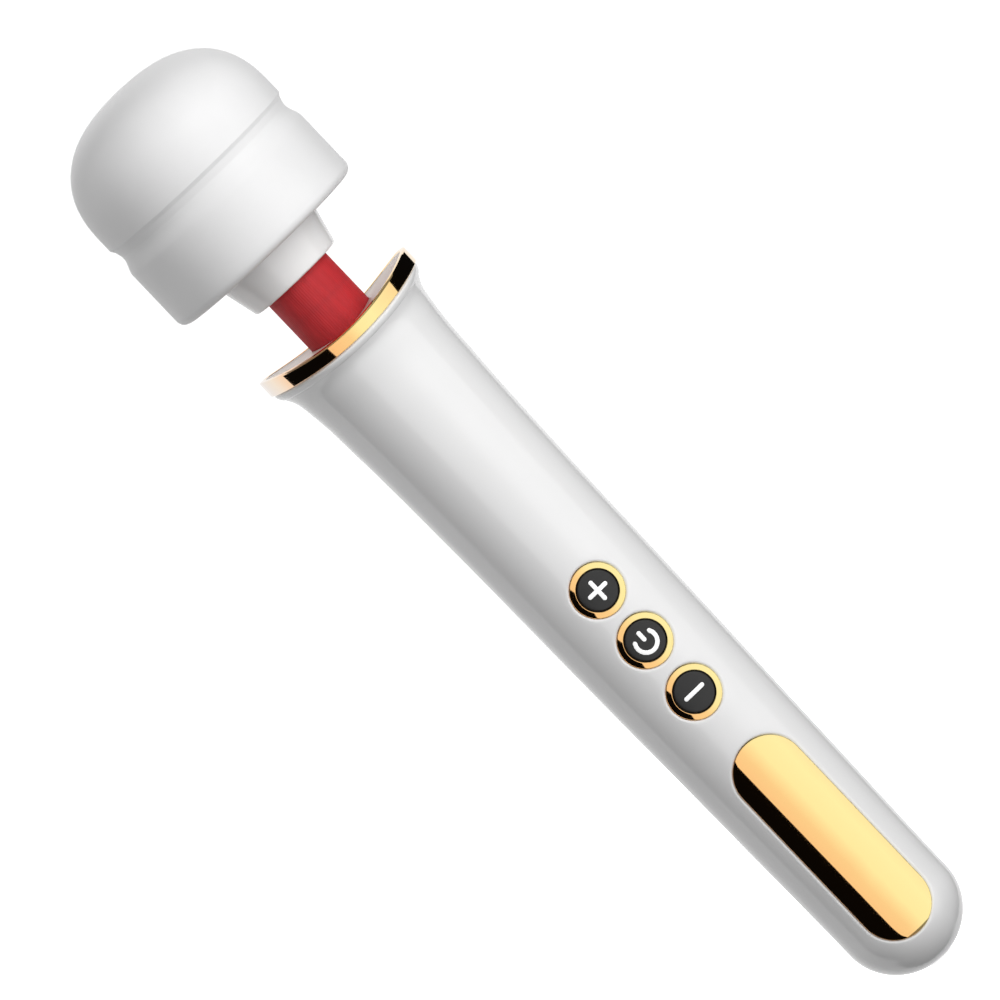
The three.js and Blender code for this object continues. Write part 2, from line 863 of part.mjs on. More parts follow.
const HEAD_LEAD_ROUTE = [
  [0, 0, GAP / 2],
  [0, 0, 4.4],
  [1.8, 0, 7.2],
  [6, 0, 8],
  [7.4, 0, MOTOR.bottom - 2],
  [7.4, 0, MOTOR.bottom - 2 * GAP],
];

function neckLead() {
  const bottom = LEAD_JOINT + GAP / 2 - NECK.pivot;
  return rod(LEAD_RADIUS, bottom, UNDERSIDE - GAP / 2 - NECK.pivot, FACETS.wire);
}

// ---- Assembly ----

function handleGroup() {
  const made = group(
    piece("front_shell", frontShell(), "glossWhite"),
    piece("back_shell", backShell(), "glossWhite"),
    piece("collar_ring", collarRing(), "gold"),
    piece("mouth_deck", mouthDeck(), "champagne"),
    piece("neck_base", neckBase(), "greyPlastic"),
    piece("panel_plate", panelPlate(), "gold"),
    piece("circuit_board", circuitBoard(), "boardGreen"),
    piece("control_chip", controlChip(), "blackPlastic"),
    piece("battery_cell", batteryCell(), "cellWrap"),
    piece("battery_cage", batteryCage(), "greyPlastic"),
    piece("charging_jack", chargingJack(), "blackPlastic"),
    piece("battery_lead_positive", lead(BATTERY_POSITIVE_ROUTE, THIN_LEAD_RADIUS, 9), "siliconeRed"),
    piece("battery_lead_negative", lead(BATTERY_NEGATIVE_ROUTE, THIN_LEAD_RADIUS, 22), "rubber"),
    piece("charge_lead", lead(CHARGE_ROUTE, THIN_LEAD_RADIUS, 22), "rubber"),
    piece("lead_handle", lead(HANDLE_LEAD_ROUTE, LEAD_RADIUS, 18), "rubber"),
  );
  const plateTop = BASE_PLATE.top + GAP;
  plateScrewPlaces().forEach(([x, y], i) => {
    const shape = screw(PLATE_SCREW, plateTop - PLATE_SCREW.tip);
    made.add(placed(piece(`neck_base_screw_${letters[i]}`, shape, "steel"), x, y, plateTop));
  });
  boardScrewPlaces().forEach(([x, z], i) => {
    const shape = screw(BOARD_SCREW, boardBack - BOARD_SCREW.tip).rotate(BACKWARDS);
    made.add(placed(piece(`board_screw_${letters[i]}`, shape, "steel"), x, boardBack, z));
  });
  SHELL_SCREW_Z.forEach((z, i) => {
    const shape = screw(SHELL_SCREW, SHELL_SCREW.seat - SHELL_SCREW.tip).rotate(BACKWARDS);
    made.add(placed(piece(`shell_screw_${letters[i]}`, shape, "steel"), 0, SHELL_SCREW.seat, z));
    made.add(piece(`screw_plug_${letters[i]}`, screwPlug(z), "glossWhite"));
  });
  return made;
}

function buttonGroup({ name, z }) {
  return group(
    piece(`button_ring_${name}`, buttonRing(z), "gold"),
    piece(`button_cap_${name}`, buttonCap(z), "charcoal"),
    piece(`plunger_${name}`, switchPlunger(z), "rubber"),
    piece(`switch_${name}`, switchBody(z), "blackPlastic"),
  );
}

function neckGroup() {
  const made = group(
    piece("neck_sleeve", neckSleeve(), "siliconeRed"),
    piece("neck_spring", neckSpring(), "steel"),
    piece("lead_neck", neckLead(), "rubber"),
  );
  return placed(made, 0, 0, NECK.pivot);
}

function motorGroup() {
  return group(
    piece("motor_can", motorCan(), "steel"),
    piece("motor_end_cap", motorEndCap(), "blackPlastic"),
    piece("motor_magnet_a", motorMagnet(0), "magnet"),
    piece("motor_magnet_b", motorMagnet(180), "magnet"),
    piece("shaft_bush", shaftBush(), "brass"),
    piece("motor_armature", motorArmature(), "steel"),
    piece("motor_shaft", rod(MOTOR.shaftRadius, MOTOR.shaftBottom, MOTOR.shaftTop), "steel"),
    piece("eccentric_weight", eccentricWeight(), "steel"),
  );
}

function headGroup() {
  const made = group(
    piece("head_cover", headCover(), "siliconeWhite"),
    piece("head_dome", headDome(), "greyPlastic"),
    piece("head_base", headBase(), "greyPlastic"),
    piece("head_collar", headCollar(), "glossWhite"),
    piece("motor_mount", motorMount(), "rubber"),
    piece("lead_head", lead(HEAD_LEAD_ROUTE, LEAD_RADIUS, 12), "rubber"),
    motorGroup(),
  );
  const mountTop = MOUNT.top + GAP;
  mountScrewPlaces().forEach(([x, y], i) => {
    const shape = screw(MOUNT_SCREW, mountTop - MOUNT_SCREW.tip);
    made.add(placed(piece(`motor_mount_screw_${letters[i]}`, shape, "steel"), x, y, mountTop));
  });
  return placed(made, 0, 0, UNDERSIDE);
}

const wand = group(handleGroup(), ...BUTTONS.map(buttonGroup), neckGroup(), headGroup());

export default wand;
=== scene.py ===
"""Looks of a cordless wand massager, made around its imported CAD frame.

Outlines are in millimetres and become metres when a mesh is made. The wand stands along +Z and its
buttons face -Y. Heights come from the frame's nodes where a piece sits against another one.
"""

import json
import math

import bmesh
import bpy
from mathutils import Matrix, Vector

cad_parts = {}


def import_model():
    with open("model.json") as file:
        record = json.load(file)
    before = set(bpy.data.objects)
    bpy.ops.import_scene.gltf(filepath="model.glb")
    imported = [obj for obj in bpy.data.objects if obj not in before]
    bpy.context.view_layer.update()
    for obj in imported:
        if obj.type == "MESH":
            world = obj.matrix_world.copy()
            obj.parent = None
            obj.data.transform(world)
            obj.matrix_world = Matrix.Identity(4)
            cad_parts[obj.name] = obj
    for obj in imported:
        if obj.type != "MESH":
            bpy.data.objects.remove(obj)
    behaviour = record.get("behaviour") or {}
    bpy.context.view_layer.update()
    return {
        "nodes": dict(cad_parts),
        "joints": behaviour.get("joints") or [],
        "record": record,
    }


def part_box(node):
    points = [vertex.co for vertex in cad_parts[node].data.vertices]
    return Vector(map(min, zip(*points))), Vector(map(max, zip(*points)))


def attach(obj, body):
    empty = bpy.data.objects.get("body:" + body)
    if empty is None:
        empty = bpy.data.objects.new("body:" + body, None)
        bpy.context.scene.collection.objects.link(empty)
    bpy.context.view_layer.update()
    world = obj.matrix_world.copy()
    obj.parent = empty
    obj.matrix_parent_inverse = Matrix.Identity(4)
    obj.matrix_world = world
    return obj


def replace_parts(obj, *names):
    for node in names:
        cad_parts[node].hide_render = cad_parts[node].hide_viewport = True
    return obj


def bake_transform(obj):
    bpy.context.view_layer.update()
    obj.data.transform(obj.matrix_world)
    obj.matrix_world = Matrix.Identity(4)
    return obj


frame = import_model()

MM = 0.001
SHARP_ANGLE = math.radians(42)
# Corners of a piece that are closer than this, in metres, become one
WELD = 1e-7


def low(node):
    """Lowest corner of a CAD node, in millimetres."""
    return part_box(node)[0] / MM


def high(node):
    """Highest corner of a CAD node, in millimetres."""
    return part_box(node)[1] / MM


def middle(node):
    return (low(node) + high(node)) / 2


# ---- Dimensions: radii, heights and lengths in millimetres ----

BUTT = {"radius": 17.7, "height": 17.0}
# (radius, height) of the handle's outline, from the top of the rounded butt to the flared lip
STATIONS = [
    (17.7, 17.0),
    (18.3, 60.0),
    (19.2, 118.0),
    (20.0, 172.0),
    (21.0, 204.0),
    (22.1, 220.5),
    (23.3, 227.0),
    (25.2, 230.6),
    (26.0, 232.4),
]
# "roll_degrees" is how far the skin follows the lip's bead round, and "gap" the room under the bead
BEAD = {"middle": 230.95, "half": 1.5, "stand": 0.42, "roll_degrees": 104, "gap": 0.02}
# The mouth dips at the front and back: not at all at "start", and most at the gold ring's top
SADDLE = {
    "radius": 26.3, "start": 219.0, "lip": 232.4,
    "lip_dip": 2.9, "ring_top": 237.4, "ring_dip": 4.3,
}
WALL = 2.6
SLOPE_STEP = 0.004

# Rows and columns of a shell's grid, and steps of its rounded edges and round its openings
COLUMNS = 48
BUTT_ROWS = 18
SIDE_ROWS = 88
FLARE_ROWS = 14
BEAD_ROWS = 12
ROLL_STEPS = 4
OPENING_STEPS = 5
# The block of the grid that an opening takes: columns each side, and room past its ends
BLOCK = {"front_columns": 11, "back_columns": 4, "below_panel": 4.5, "above_plus": 1.5, "round_plug": 6}
# How far the rounded edge of each opening or border reaches, and how far a seam stands from the middle
EDGES = {"lip": 0.75, "jack": 0.3, "seam": 0.22, "ring": 0.8, "plug": 0.25}
SEAM_HALF = 0.01
JACK_HOLE = 3.4

BUTTON_NAMES = ("minus", "power", "plus")
# "rows" are shares of the ring's face, from its inside, and "lean" is how far the face drops
RING = {
    "outer": 7.6, "inner": 5.9, "bevel": 0.13, "lean": 0.07,
    "rows": (0, 0.08, 0.5, 0.92, 1), "depth": 3.0,
}
CAP = {
    "radius": 5.65, "recess": 0.12, "round": 0.45, "flange": 7.1,
    "flange_thick": 1.0, "flange_gap": 0.4, "post": 2.0,
}
ICON = {"half_width": 0.6, "stand": 0.14, "sink": 0.1, "plus": 6.7, "minus": 6.9}
# (share of the half width, share of the stand) round a mark's section. Below 0 is inside the cap
ICON_SECTION = [(-1, -1), (-1, 0.6), (-0.82, 1), (0, 1), (0.82, 1), (1, 0.6), (1, -1)]
POWER = {"radius": 3.05, "drop": 0.3, "gap_degrees": 96, "bar": 3.4, "bar_middle": 1.55}
PANEL = {"thick": 1.0, "round": 0.1}
PLUG = {"radius": 2.8, "round": 0.3, "recess": 0.08}
INLAY_GAP = 0.12

# The gold ring on the lip: "lift" is its bottom's height over the lip
BAND = {
    "inner": 25.0, "outer": 26.65, "lift": 0.1,
    "low_bevel": 0.15, "top_bevel": 0.35, "inner_bevel": 0.3,
}
# The dish in the mouth: "climb" is the power that its height grows by
DISH = {
    "hole": 10.5, "rim": 24.75, "low": 233.9, "high": 236.9,
    "neck_dip": 1.45, "rim_dip": 3.7, "edge": 0.2, "climb": 1.25,
}
# How far under the dish's face its edges are
DISH_DROPS = {"hole_bottom": 0.35, "hole_top": 0.12, "rim": 0.1}
# (radius, height) of the dish's underside from its rim inwards, with its skirt in the handle
DISH_UNDERSIDE = [(24.75, 233.2), (20.1, 233), (20.1, 228), (19.3, 228), (19.3, 233.2), (14.6, 233.5)]

NECK = {"outer": 10.4, "inner": 8.3, "lower_flange": 13.5, "upper_flange": 12.8, "flange_thick": 2.3}
FLUTES = {"count": 96, "depth": 0.035, "facets": 4}
SPRING = {"radius": 7.0, "wire": 0.9, "turns": 7}
LEAD_RADIUS = 1.3

# The cover's heights stand on its underside
HEAD = {"radius": 31.1, "groove_radius": 29.75, "brow_step": 0.55, "skin": 3.0, "hole": 17.3}
HEAD_ROUNDS = {"hole": 0.4, "corner": 2.6, "crease": 0.8, "under_brow": 1.2, "brow": 0.35}
HEAD_HEIGHTS = {
    "shoulder": 19.6, "groove": 24.5, "crease": 25.2,
    "under_brow": 27.3, "brow": 28.4, "dome": 32.0,
}
DOME = {"rise": 26.0, "power": 2.45}
# Radii of the collar's taper, its bottom's height, and radii of its bore, seat and thread
COLLAR = {"low": 14.3, "high": 17.0, "bottom": -11.0, "bore": 10.7, "seat": 13.1, "thread": 14.6}
# The share of the taper's height where its rows start
COLLAR_START = 0.1
SEAT_GAP = 0.3

# Radii of the charging socket, heights of its shoulder, bore and pin, and how far it is set in
SOCKET = {
    "body": 4.5, "nose": 3.1, "bore": 1.75, "pin": 0.5,
    "shoulder": 4.3, "bore_top": 11.0, "pin_bottom": 2.0, "recess": 0.6,
}

# How many flats a turned piece has round it
FLATS = {"band": 256, "dish": 192, "cover": 192, "collar": 160, "socket": 96, "spring": 12, "lead": 16}

PIVOT = Vector(frame["joints"][0]["pos_m"]) / MM
UNDERSIDE = low("head_cover").z
PANEL_LOW, PANEL_HIGH = low("panel_plate"), high("panel_plate")
PANEL_RADIUS = (PANEL_HIGH.x - PANEL_LOW.x) / 2
PANEL_MIDDLE = (PANEL_LOW.z + PANEL_HIGH.z) / 2
PANEL_HALF = (PANEL_HIGH.z - PANEL_LOW.z) / 2 - PANEL_RADIUS


# ---- Small geometry helpers ----


def span(start, end, steps):
    """steps + 1 even values from start to end."""
    return [start + (end - start) * i / steps for i in range(steps + 1)]


def smooth(value, start, end):
    """0 before start, 1 after end, and a smooth step between them."""
    t = min(max((value - start) / (end - start), 0.0), 1.0)
    return t * t * (3 - 2 * t)


def rounded(corners, steps=5):
    """An outline from (across, up, fillet) corners, with an arc in place of each filleted corner."""
    points = []
    for i, (across, up, fillet) in enumerate(corners):
        here = Vector((across, up))
        if fillet == 0:
            points.append((across, up))
            continue
        before = (Vector(corners[i - 1][:2]) - here).normalized()
        after = (Vector(corners[(i + 1) % len(corners)][:2]) - here).normalized()
        half = before.angle(after) / 2
        centre = here + (before + after).normalized() * (fillet / math.sin(half))
        first = here + before * (fillet / math.tan(half)) - centre
        last = here + after * (fillet / math.tan(half)) - centre
        turn = math.atan2(first.x * last.y - first.y * last.x, first.dot(last))
        for angle in span(0, turn, steps):
            x = first.x * math.cos(angle) - first.y * math.sin(angle)
            y = first.x * math.sin(angle) + first.y * math.cos(angle)
            points.append((centre.x + x, centre.y + y))
    return points


def raised(outline, height):
    """(radius, height) points, each that much higher."""
    return [(radius, height + up) for radius, up in outline]


def linked(name, data):
    """A new object of the scene."""
    item = bpy.data.objects.new(name, data)
    bpy.context.scene.collection.objects.link(item)
    return item


def made(name, points, faces, finish, body=None):
    """A mesh object from millimetre points, with faces that point out and marked sharp edges."""
    mesh = bpy.data.meshes.new(name)
    mesh.from_pydata([tuple(Vector(p) * MM) for p in points], [], faces)
    work = bmesh.new()
    work.from_mesh(mesh)
    bmesh.ops.remove_doubles(work, verts=work.verts, dist=WELD)
    bmesh.ops.dissolve_degenerate(work, edges=work.edges, dist=WELD)
    bmesh.ops.recalc_face_normals(work, faces=work.faces)
    work.to_mesh(mesh)
    work.free()
    mesh.shade_smooth()
    mesh.set_sharp_from_angle(angle=SHARP_ANGLE)
    mesh.materials.append(FINISH[finish])
    piece = linked(name, mesh)
    if body:
        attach(piece, body)
    return piece


def strips(count, ring_size, closed):
    """Quads between count rings of ring_size points, numbered ring by ring."""
    faces = []
    for ring in range(count if closed else count - 1):
        start = ring * ring_size
        after = (ring + 1) % count * ring_size
        for k in range(ring_size):
            step = (k + 1) % ring_size
            faces.append((start + k, start + step, after + step, after + k))
    return faces


def end_caps(count, ring_size):
    """The faces that close the first and last rings of count points in all."""
    return [tuple(range(ring_size)), tuple(range(count - ring_size, count))]


def turned(outline, segments, closed=True, bend=None, ripple=None):
    """Points and faces of (radius, height) points turned about Z. bend moves a point, ripple a radius."""
    points = []
    for radius, height in outline:
        for k in range(segments):
            angle = 2 * math.pi * k / segments
            reach = ripple(radius, angle) if ripple else radius
            point = Vector((reach * math.sin(angle), -reach * math.cos(angle), height))
            points.append(bend(point) if bend else point)
    return points, strips(len(outline), segments, closed)


def swept(centres, radius, sides):
    """Points and faces of a round wire along a list of points, with closed ends."""
    points = []
    for i, centre in enumerate(centres):
        along = (centres[min(i + 1, len(centres) - 1)] - centres[max(i - 1, 0)]).normalized()
        if i == 0:
            across = along.orthogonal().normalized()
        else:
            across = (across - along * across.dot(along)).normalized()
        other = along.cross(across)
        for k in range(sides):
            angle = 2 * math.pi * k / sides
            points.append(centre + (across * math.cos(angle) + other * math.sin(angle)) * radius)
    return points, strips(len(centres), sides, False) + end_caps(len(points), sides)


# ---- Finishes ----


class Finish:
    """A Principled material whose detail is measured in millimetres on the piece itself."""

    def __init__(self, name, colour, roughness, **values):
        self.material = bpy.data.materials.new(name)
        self.material.use_nodes = True
        self.tree = self.material.node_tree
        self.shader = self.tree.nodes["Principled BSDF"]
        self.colour = colour
        self.shader.inputs["Base Color"].default_value = (*colour, 1)
        self.shader.inputs["Roughness"].default_value = roughness
        for socket, value in values.items():
            self.shader.inputs[socket.replace("_", " ")].default_value = value
        self.place = self.node("ShaderNodeTexCoord").outputs["Object"]
        self.normal = None

    def node(self, kind):
        return self.tree.nodes.new(kind)

    def link(self, source, target):
        self.tree.links.new(source, target)

    def noise(self, size, detail, stretch=(1, 1, 1)):
        """Noise whose blotches are about size millimetres across, with each axis stretched."""
        mapping = self.node("ShaderNodeMapping")
        mapping.inputs["Scale"].default_value = stretch
        self.link(self.place, mapping.inputs["Vector"])
        noise = self.node("ShaderNodeTexNoise")
        noise.inputs["Scale"].default_value = 1 / (size * MM)
        noise.inputs["Detail"].default_value = detail
        self.link(mapping.outputs["Vector"], noise.inputs["Vector"])
        return noise.outputs["Fac"]

    def tone(self, factor, stops):
        """Colours the surface by a factor, through (position, colour) stops."""
        ramp = self.node("ShaderNodeValToRGB")
        elements = ramp.color_ramp.elements
        while len(elements) < len(stops):
            elements.new(0.5)
        for element, (position, colour) in zip(elements, stops):
            element.position = position
            element.color = (*colour, 1)
        self.link(factor, ramp.inputs["Fac"])
        self.link(ramp.outputs["Color"], self.shader.inputs["Base Color"])

    def mottle(self, size, detail, spread, stretch=(1, 1, 1)):
        """Makes blotches a little darker and a little lighter than the colour."""
        darker = tuple(c * (1 - spread) for c in self.colour)
        lighter = tuple(min(c * (1 + spread), 1) for c in self.colour)
        self.tone(self.noise(size, detail, stretch), [(0.35, darker), (0.65, lighter)])

    def gloss(self, size, detail, least, most, stretch=(1, 1, 1)):
        """Spreads the roughness between two values in blotches."""
        blotches = self.noise(size, detail, stretch)
        spread = self.node("ShaderNodeMapRange")
        spread.inputs["To Min"].default_value = least
        spread.inputs["To Max"].default_value = most
        self.link(blotches, spread.inputs["Value"])
        self.link(spread.outputs["Result"], self.shader.inputs["Roughness"])

    def bump(self, factor, strength, depth):
        """Raises the surface by a factor, depth millimetres at most. Bumps add up."""
        bump = self.node("ShaderNodeBump")
        bump.inputs["Strength"].default_value = strength
        bump.inputs["Distance"].default_value = depth * MM
        self.link(factor, bump.inputs["Height"])
        if self.normal:
            self.link(self.normal, bump.inputs["Normal"])
        self.normal = bump.outputs["Normal"]
        self.link(self.normal, self.shader.inputs["Normal"])

    def grain(self, size, detail, strength, depth, stretch=(1, 1, 1)):
        """Raises the surface in blotches."""
        self.bump(self.noise(size, detail, stretch), strength, depth)


def white_gloss():
    """Polished white moulding: almost even, with a faint flow mottle and soft orange peel."""
    coat = {"IOR": 1.5, "Coat_Weight": 0.25, "Coat_Roughness": 0.05}
    finish = Finish("white_gloss", (0.87, 0.868, 0.868), 0.16, **coat)
    finish.mottle(size=30, detail=2, spread=0.008)
    finish.gloss(size=5, detail=4, least=0.13, most=0.2)
    finish.grain(size=2.5, detail=2, strength=0.12, depth=0.01)
    return finish.material


def white_silicone():
    """Satin white silicone: fine grain, slight mottle and a soft edge sheen."""
    sheen = {"IOR": 1.42, "Sheen_Weight": 0.08, "Sheen_Roughness": 0.4}
    finish = Finish("white_silicone", (0.85, 0.848, 0.85), 0.42, **sheen)
    finish.mottle(size=14, detail=3, spread=0.012)
    finish.gloss(size=3, detail=4, least=0.36, most=0.48)
    finish.grain(size=0.35, detail=3, strength=0.25, depth=0.02)
    finish.grain(size=6, detail=1, strength=0.1, depth=0.03)
    return finish.material


def red_silicone():
    """Deep red satin silicone, a little darker and lighter in lengthwise streaks."""
    depth = {"Subsurface_Weight": 0.35, "Subsurface_Radius": (1.0, 0.15, 0.12), "Subsurface_Scale": 4 * MM}
    finish = Finish("red_silicone", (0.51, 0.026, 0.033), 0.55, IOR=1.38, **depth)
    finish.mottle(size=1.2, detail=3, spread=0.06, stretch=(1, 1, 0.12))
    finish.gloss(size=1.5, detail=3, least=0.48, most=0.62)
    finish.grain(size=0.25, detail=3, strength=0.3, depth=0.02)
    return finish.material


GOLD_REACH = 27
# (distance across the wand in millimetres, colour): the gold's colour with a painted reflection across it,
# from cream and copper on one side to pale yellow on the other
GOLD_PAINTED_REFLECTION_STOPS = [
    (-26, (0.82, 0.74, 0.68)),
    (-23.5, (0.9, 0.76, 0.62)),
    (-21, (0.95, 0.66, 0.44)),
    (-7, (0.96, 0.52, 0.21)),
    (-2, (0.96, 0.6, 0.24)),
    (2, (0.99, 0.8, 0.34)),
    (7, (1.0, 0.84, 0.37)),
    (16, (0.98, 0.68, 0.3)),
    (26, (0.97, 0.8, 0.6)),
]
# The share of noise in the gold's change of colour
GOLD_WAVER = 0.02


def gold_mirror():
    """Mirror gold plating with a painted reflection that makes it warmer on one side and paler on the
    other, with hairline polish marks.
    """
    finish = Finish("gold_mirror", (0.98, 0.68, 0.3), 0.05, Metallic=1.0)
    # Painted reflection: the base colour changes with the distance across the wand, as reflected light
    # would tint it
    across = finish.node("ShaderNodeSeparateXYZ")
    finish.link(finish.place, across.inputs["Vector"])
    spread = finish.node("ShaderNodeMapRange")
    spread.inputs["From Min"].default_value = -GOLD_REACH * MM
    spread.inputs["From Max"].default_value = GOLD_REACH * MM
    finish.link(across.outputs["X"], spread.inputs["Value"])
    wave = finish.node("ShaderNodeMix")
    wave.inputs["Factor"].default_value = GOLD_WAVER
    finish.link(spread.outputs["Result"], wave.inputs["A"])
    finish.link(finish.noise(size=7, detail=2), wave.inputs["B"])
    stops = [(0.5 + x / (2 * GOLD_REACH), colour) for x, colour in GOLD_PAINTED_REFLECTION_STOPS]
    finish.tone(wave.outputs["Result"], stops)
    finish.gloss(size=1.5, detail=4, least=0.03, most=0.085, stretch=(1, 1, 0.1))
    finish.grain(size=0.6, detail=2, strength=0.05, depth=0.004, stretch=(1, 1, 0.05))
    return finish.material


def champagne():
    """Pale champagne satin paint with a fine sparkle grain."""
    finish = Finish("champagne", (0.68, 0.605, 0.54), 0.4, IOR=1.45)
    finish.mottle(size=3, detail=4, spread=0.03)
    finish.gloss(size=0.8, detail=4, least=0.3, most=0.44)
    finish.grain(size=0.2, detail=2, strength=0.2, depth=0.008)
    return finish.material


def white_mark():
    """The buttons' marks: bright white inlays with a painted glow, a weak emission that makes them
    brighter than the lamps alone.
    """
    # Painted glow: the marks give off a little light of their own
    glow = {"Emission_Color": (1, 1, 1, 1), "Emission_Strength": 0.22}
    finish = Finish("white_mark", (0.95, 0.95, 0.95), 0.5, **glow)
    finish.mottle(size=2, detail=3, spread=0.01)
    finish.gloss(size=1, detail=3, least=0.42, most=0.56)
    finish.grain(size=0.2, detail=3, strength=0.2, depth=0.01)
    return finish.material


def moulded(name, colour, roughness, grain, metallic=0.0, coat=0.0):
    """A moulded or coated surface: mottled colour, uneven gloss and a fine grain of that size."""
    finish = Finish(name, colour, roughness, Metallic=metallic, Coat_Weight=coat)
    finish.mottle(size=grain * 14, detail=3, spread=0.06)
    finish.gloss(size=grain * 5, detail=4, least=roughness - 0.06, most=roughness + 0.08)
    finish.grain(size=grain, detail=3, strength=0.3, depth=grain / 20)
    return finish.material


def machined(name, colour, roughness, stretch):
    """Bare metal with fine marks drawn out along one direction and faint stains."""
    finish = Finish(name, colour, roughness, Metallic=1.0)
    finish.mottle(size=4, detail=4, spread=0.08)
    finish.gloss(size=0.5, detail=4, least=roughness - 0.08, most=roughness + 0.12, stretch=stretch)
    finish.grain(size=0.25, detail=2, strength=0.2, depth=0.01, stretch=stretch)
    return finish.material


def board_mask():
    """Green solder mask over a grid of copper tracks, 6 mm apart."""
    finish = Finish("board", (0.02, 0.2, 0.08), 0.4, Coat_Weight=0.4)
    tracks = finish.node("ShaderNodeTexBrick")
    tracks.inputs["Color1"].default_value = (0.015, 0.16, 0.06, 1)
    tracks.inputs["Color2"].default_value = (0.02, 0.19, 0.075, 1)
    tracks.inputs["Mortar"].default_value = (0.04, 0.3, 0.13, 1)
    tracks.inputs["Scale"].default_value = 1 / (6 * MM)
    finish.link(finish.place, tracks.inputs["Vector"])
    finish.link(tracks.outputs["Color"], finish.shader.inputs["Base Color"])
    finish.bump(tracks.outputs["Fac"], strength=0.3, depth=0.03)
    finish.gloss(size=2, detail=3, least=0.34, most=0.5)
    return finish.material


FINISH = {
    "white_gloss": white_gloss(),
    "white_silicone": white_silicone(),
    "red_silicone": red_silicone(),
    "gold_mirror": gold_mirror(),
    "champagne": champagne(),
    "white_mark": white_mark(),
    "charcoal": moulded("charcoal", (0.013, 0.0127, 0.0125), 0.38, 0.15),
    "black_plastic": moulded("black_plastic", (0.018, 0.018, 0.02), 0.45, 0.3),
    "grey_plastic": moulded("grey_plastic", (0.42, 0.43, 0.44), 0.5, 0.4),
    "steel": machined("steel", (0.6, 0.61, 0.63), 0.3, (1, 1, 0.08)),
    "bronze": machined("bronze", (0.62, 0.42, 0.18), 0.4, (1, 1, 1)),
    "magnet": moulded("magnet", (0.06, 0.06, 0.07), 0.6, 0.5, metallic=0.3),
    "board": board_mask(),
    "cell": moulded("cell", (0.05, 0.2, 0.5), 0.32, 0.6, coat=0.3),
    "black_rubber": moulded("black_rubber", (0.02, 0.02, 0.02), 0.6, 0.2),
    "red_wire": moulded("red_wire", (0.5, 0.03, 0.03), 0.45, 0.2),
}


# ---- The handle's surface ----


def station_slopes():
    """How fast the radius grows with height at each station. The butt meets the side upright."""
    slopes = [0.0]
    for (r0, z0), (r1, z1), (r2, z2) in zip(STATIONS, STATIONS[1:], STATIONS[2:]):
        below, above = (r1 - r0) / (z1 - z0), (r2 - r1) / (z2 - z1)
        slopes.append((below * (z2 - z1) + above * (z1 - z0)) / (z2 - z0))
    slopes.append(above)
    return slopes


SLOPES = station_slopes()


def handle_radius(height):
    """The handle's radius at a height, with the rolled bead that runs round the lip."""
    if height < BUTT["height"]:
        down = (BUTT["height"] - height) / BUTT["height"]
        return BUTT["radius"] * math.sqrt(max(1 - down * down, 0))
    i = max(k for k, (_, z) in enumerate(STATIONS[:-1]) if z <= height)
    (r0, z0), (r1, z1) = STATIONS[i], STATIONS[i + 1]
    length = z1 - z0
    t = (height - z0) / length
    radius = r0 * (1 + 2 * t) * (1 - t) ** 2 + r1 * t * t * (3 - 2 * t)
    radius += length * (SLOPES[i] * t * (1 - t) ** 2 + SLOPES[i + 1] * t * t * (t - 1))
    up = (height - BEAD["middle"]) / BEAD["half"]
    return radius + BEAD["stand"] * math.sqrt(max(1 - up * up, 0))


def saddle_dip(height):
    """How far the mouth dips at the very front and back, for a height before it dips."""
    if height <= SADDLE["lip"]:
        return SADDLE["lip_dip"] * smooth(height, SADDLE["start"], SADDLE["lip"])
    above = (height - SADDLE["lip"]) / (SADDLE["ring_top"] - SADDLE["lip"])
    return SADDLE["lip_dip"] + (SADDLE["ring_dip"] - SADDLE["lip_dip"]) * above


def saddled(point):
    """The point where the dip of the mouth takes it."""
    dip = saddle_dip(point.z) * (point.y / SADDLE["radius"]) ** 2
    return Vector((point.x, point.y, point.z - dip))


def on_handle(across, height):
    """The point of the handle's front at a distance across and a height, before the mouth dips."""
    radius = handle_radius(height)
    return Vector((across, -math.sqrt(max(radius * radius - across * across, 0)), height))


def handle_normal(point):
    """The direction that the handle's surface faces at a point of it."""
    growth = handle_radius(point.z + SLOPE_STEP) - handle_radius(point.z - SLOPE_STEP)
    slope = growth / (2 * SLOPE_STEP)
    radius = math.hypot(point.x, point.y)
    return Vector((point.x / radius, point.y / radius, -slope)).normalized()


# ---- Handle shells ----


def shell_rows():
    """Heights of the shell's rows, from the charging socket's hole to the rolled lip."""
    hole = math.asin((JACK_HOLE + EDGES["jack"]) / BUTT["radius"])
    rows = [BUTT["height"] * (1 - math.cos(a)) for a in span(hole, math.pi / 2, BUTT_ROWS)]
    rows += span(BUTT["height"], SADDLE["start"], SIDE_ROWS)[1:]
    flare_end = BEAD["middle"] - BEAD["half"] - BEAD["gap"]
    rows += span(SADDLE["start"], flare_end, FLARE_ROWS)[1:]
    roll = math.radians(BEAD["roll_degrees"])
    rows += [BEAD["middle"] - BEAD["half"] * math.cos(a) for a in span(0, roll, BEAD_ROWS)]
    return rows


class Opening:
    """A round or oval hole in a shell: its middle, half the length of its straight sides and its radius.
    kind names its border in EDGES, and reach and columns give the block of the grid that it takes."""

    def __init__(self, height, half_length, radius, kind, reach, columns):
        self.bottom, self.top = height - half_length, height + half_length
        self.radius = radius + EDGES[kind]
        self.kind = kind
        self.reach = reach
        self.columns = columns

    def rim(self, across, height):
        """The point of the rim that faces a point outside it."""
        spine = min(max(height, self.bottom), self.top)
        away = Vector((across, height - spine)).normalized() * self.radius
        return away.x, spine + away.y


def rim_loop(rows, columns):
    """Grid corners round a block, anticlockwise as seen from outside."""
    (r0, r1), (c0, c1) = rows, columns
    loop = [(r0, c) for c in range(c0, c1)]
    loop += [(r, c1) for r in range(r0, r1)]
    loop += [(r1, c) for c in range(c1, c0, -1)]
    loop += [(r, c0) for r in range(r1, r0, -1)]
    return loop


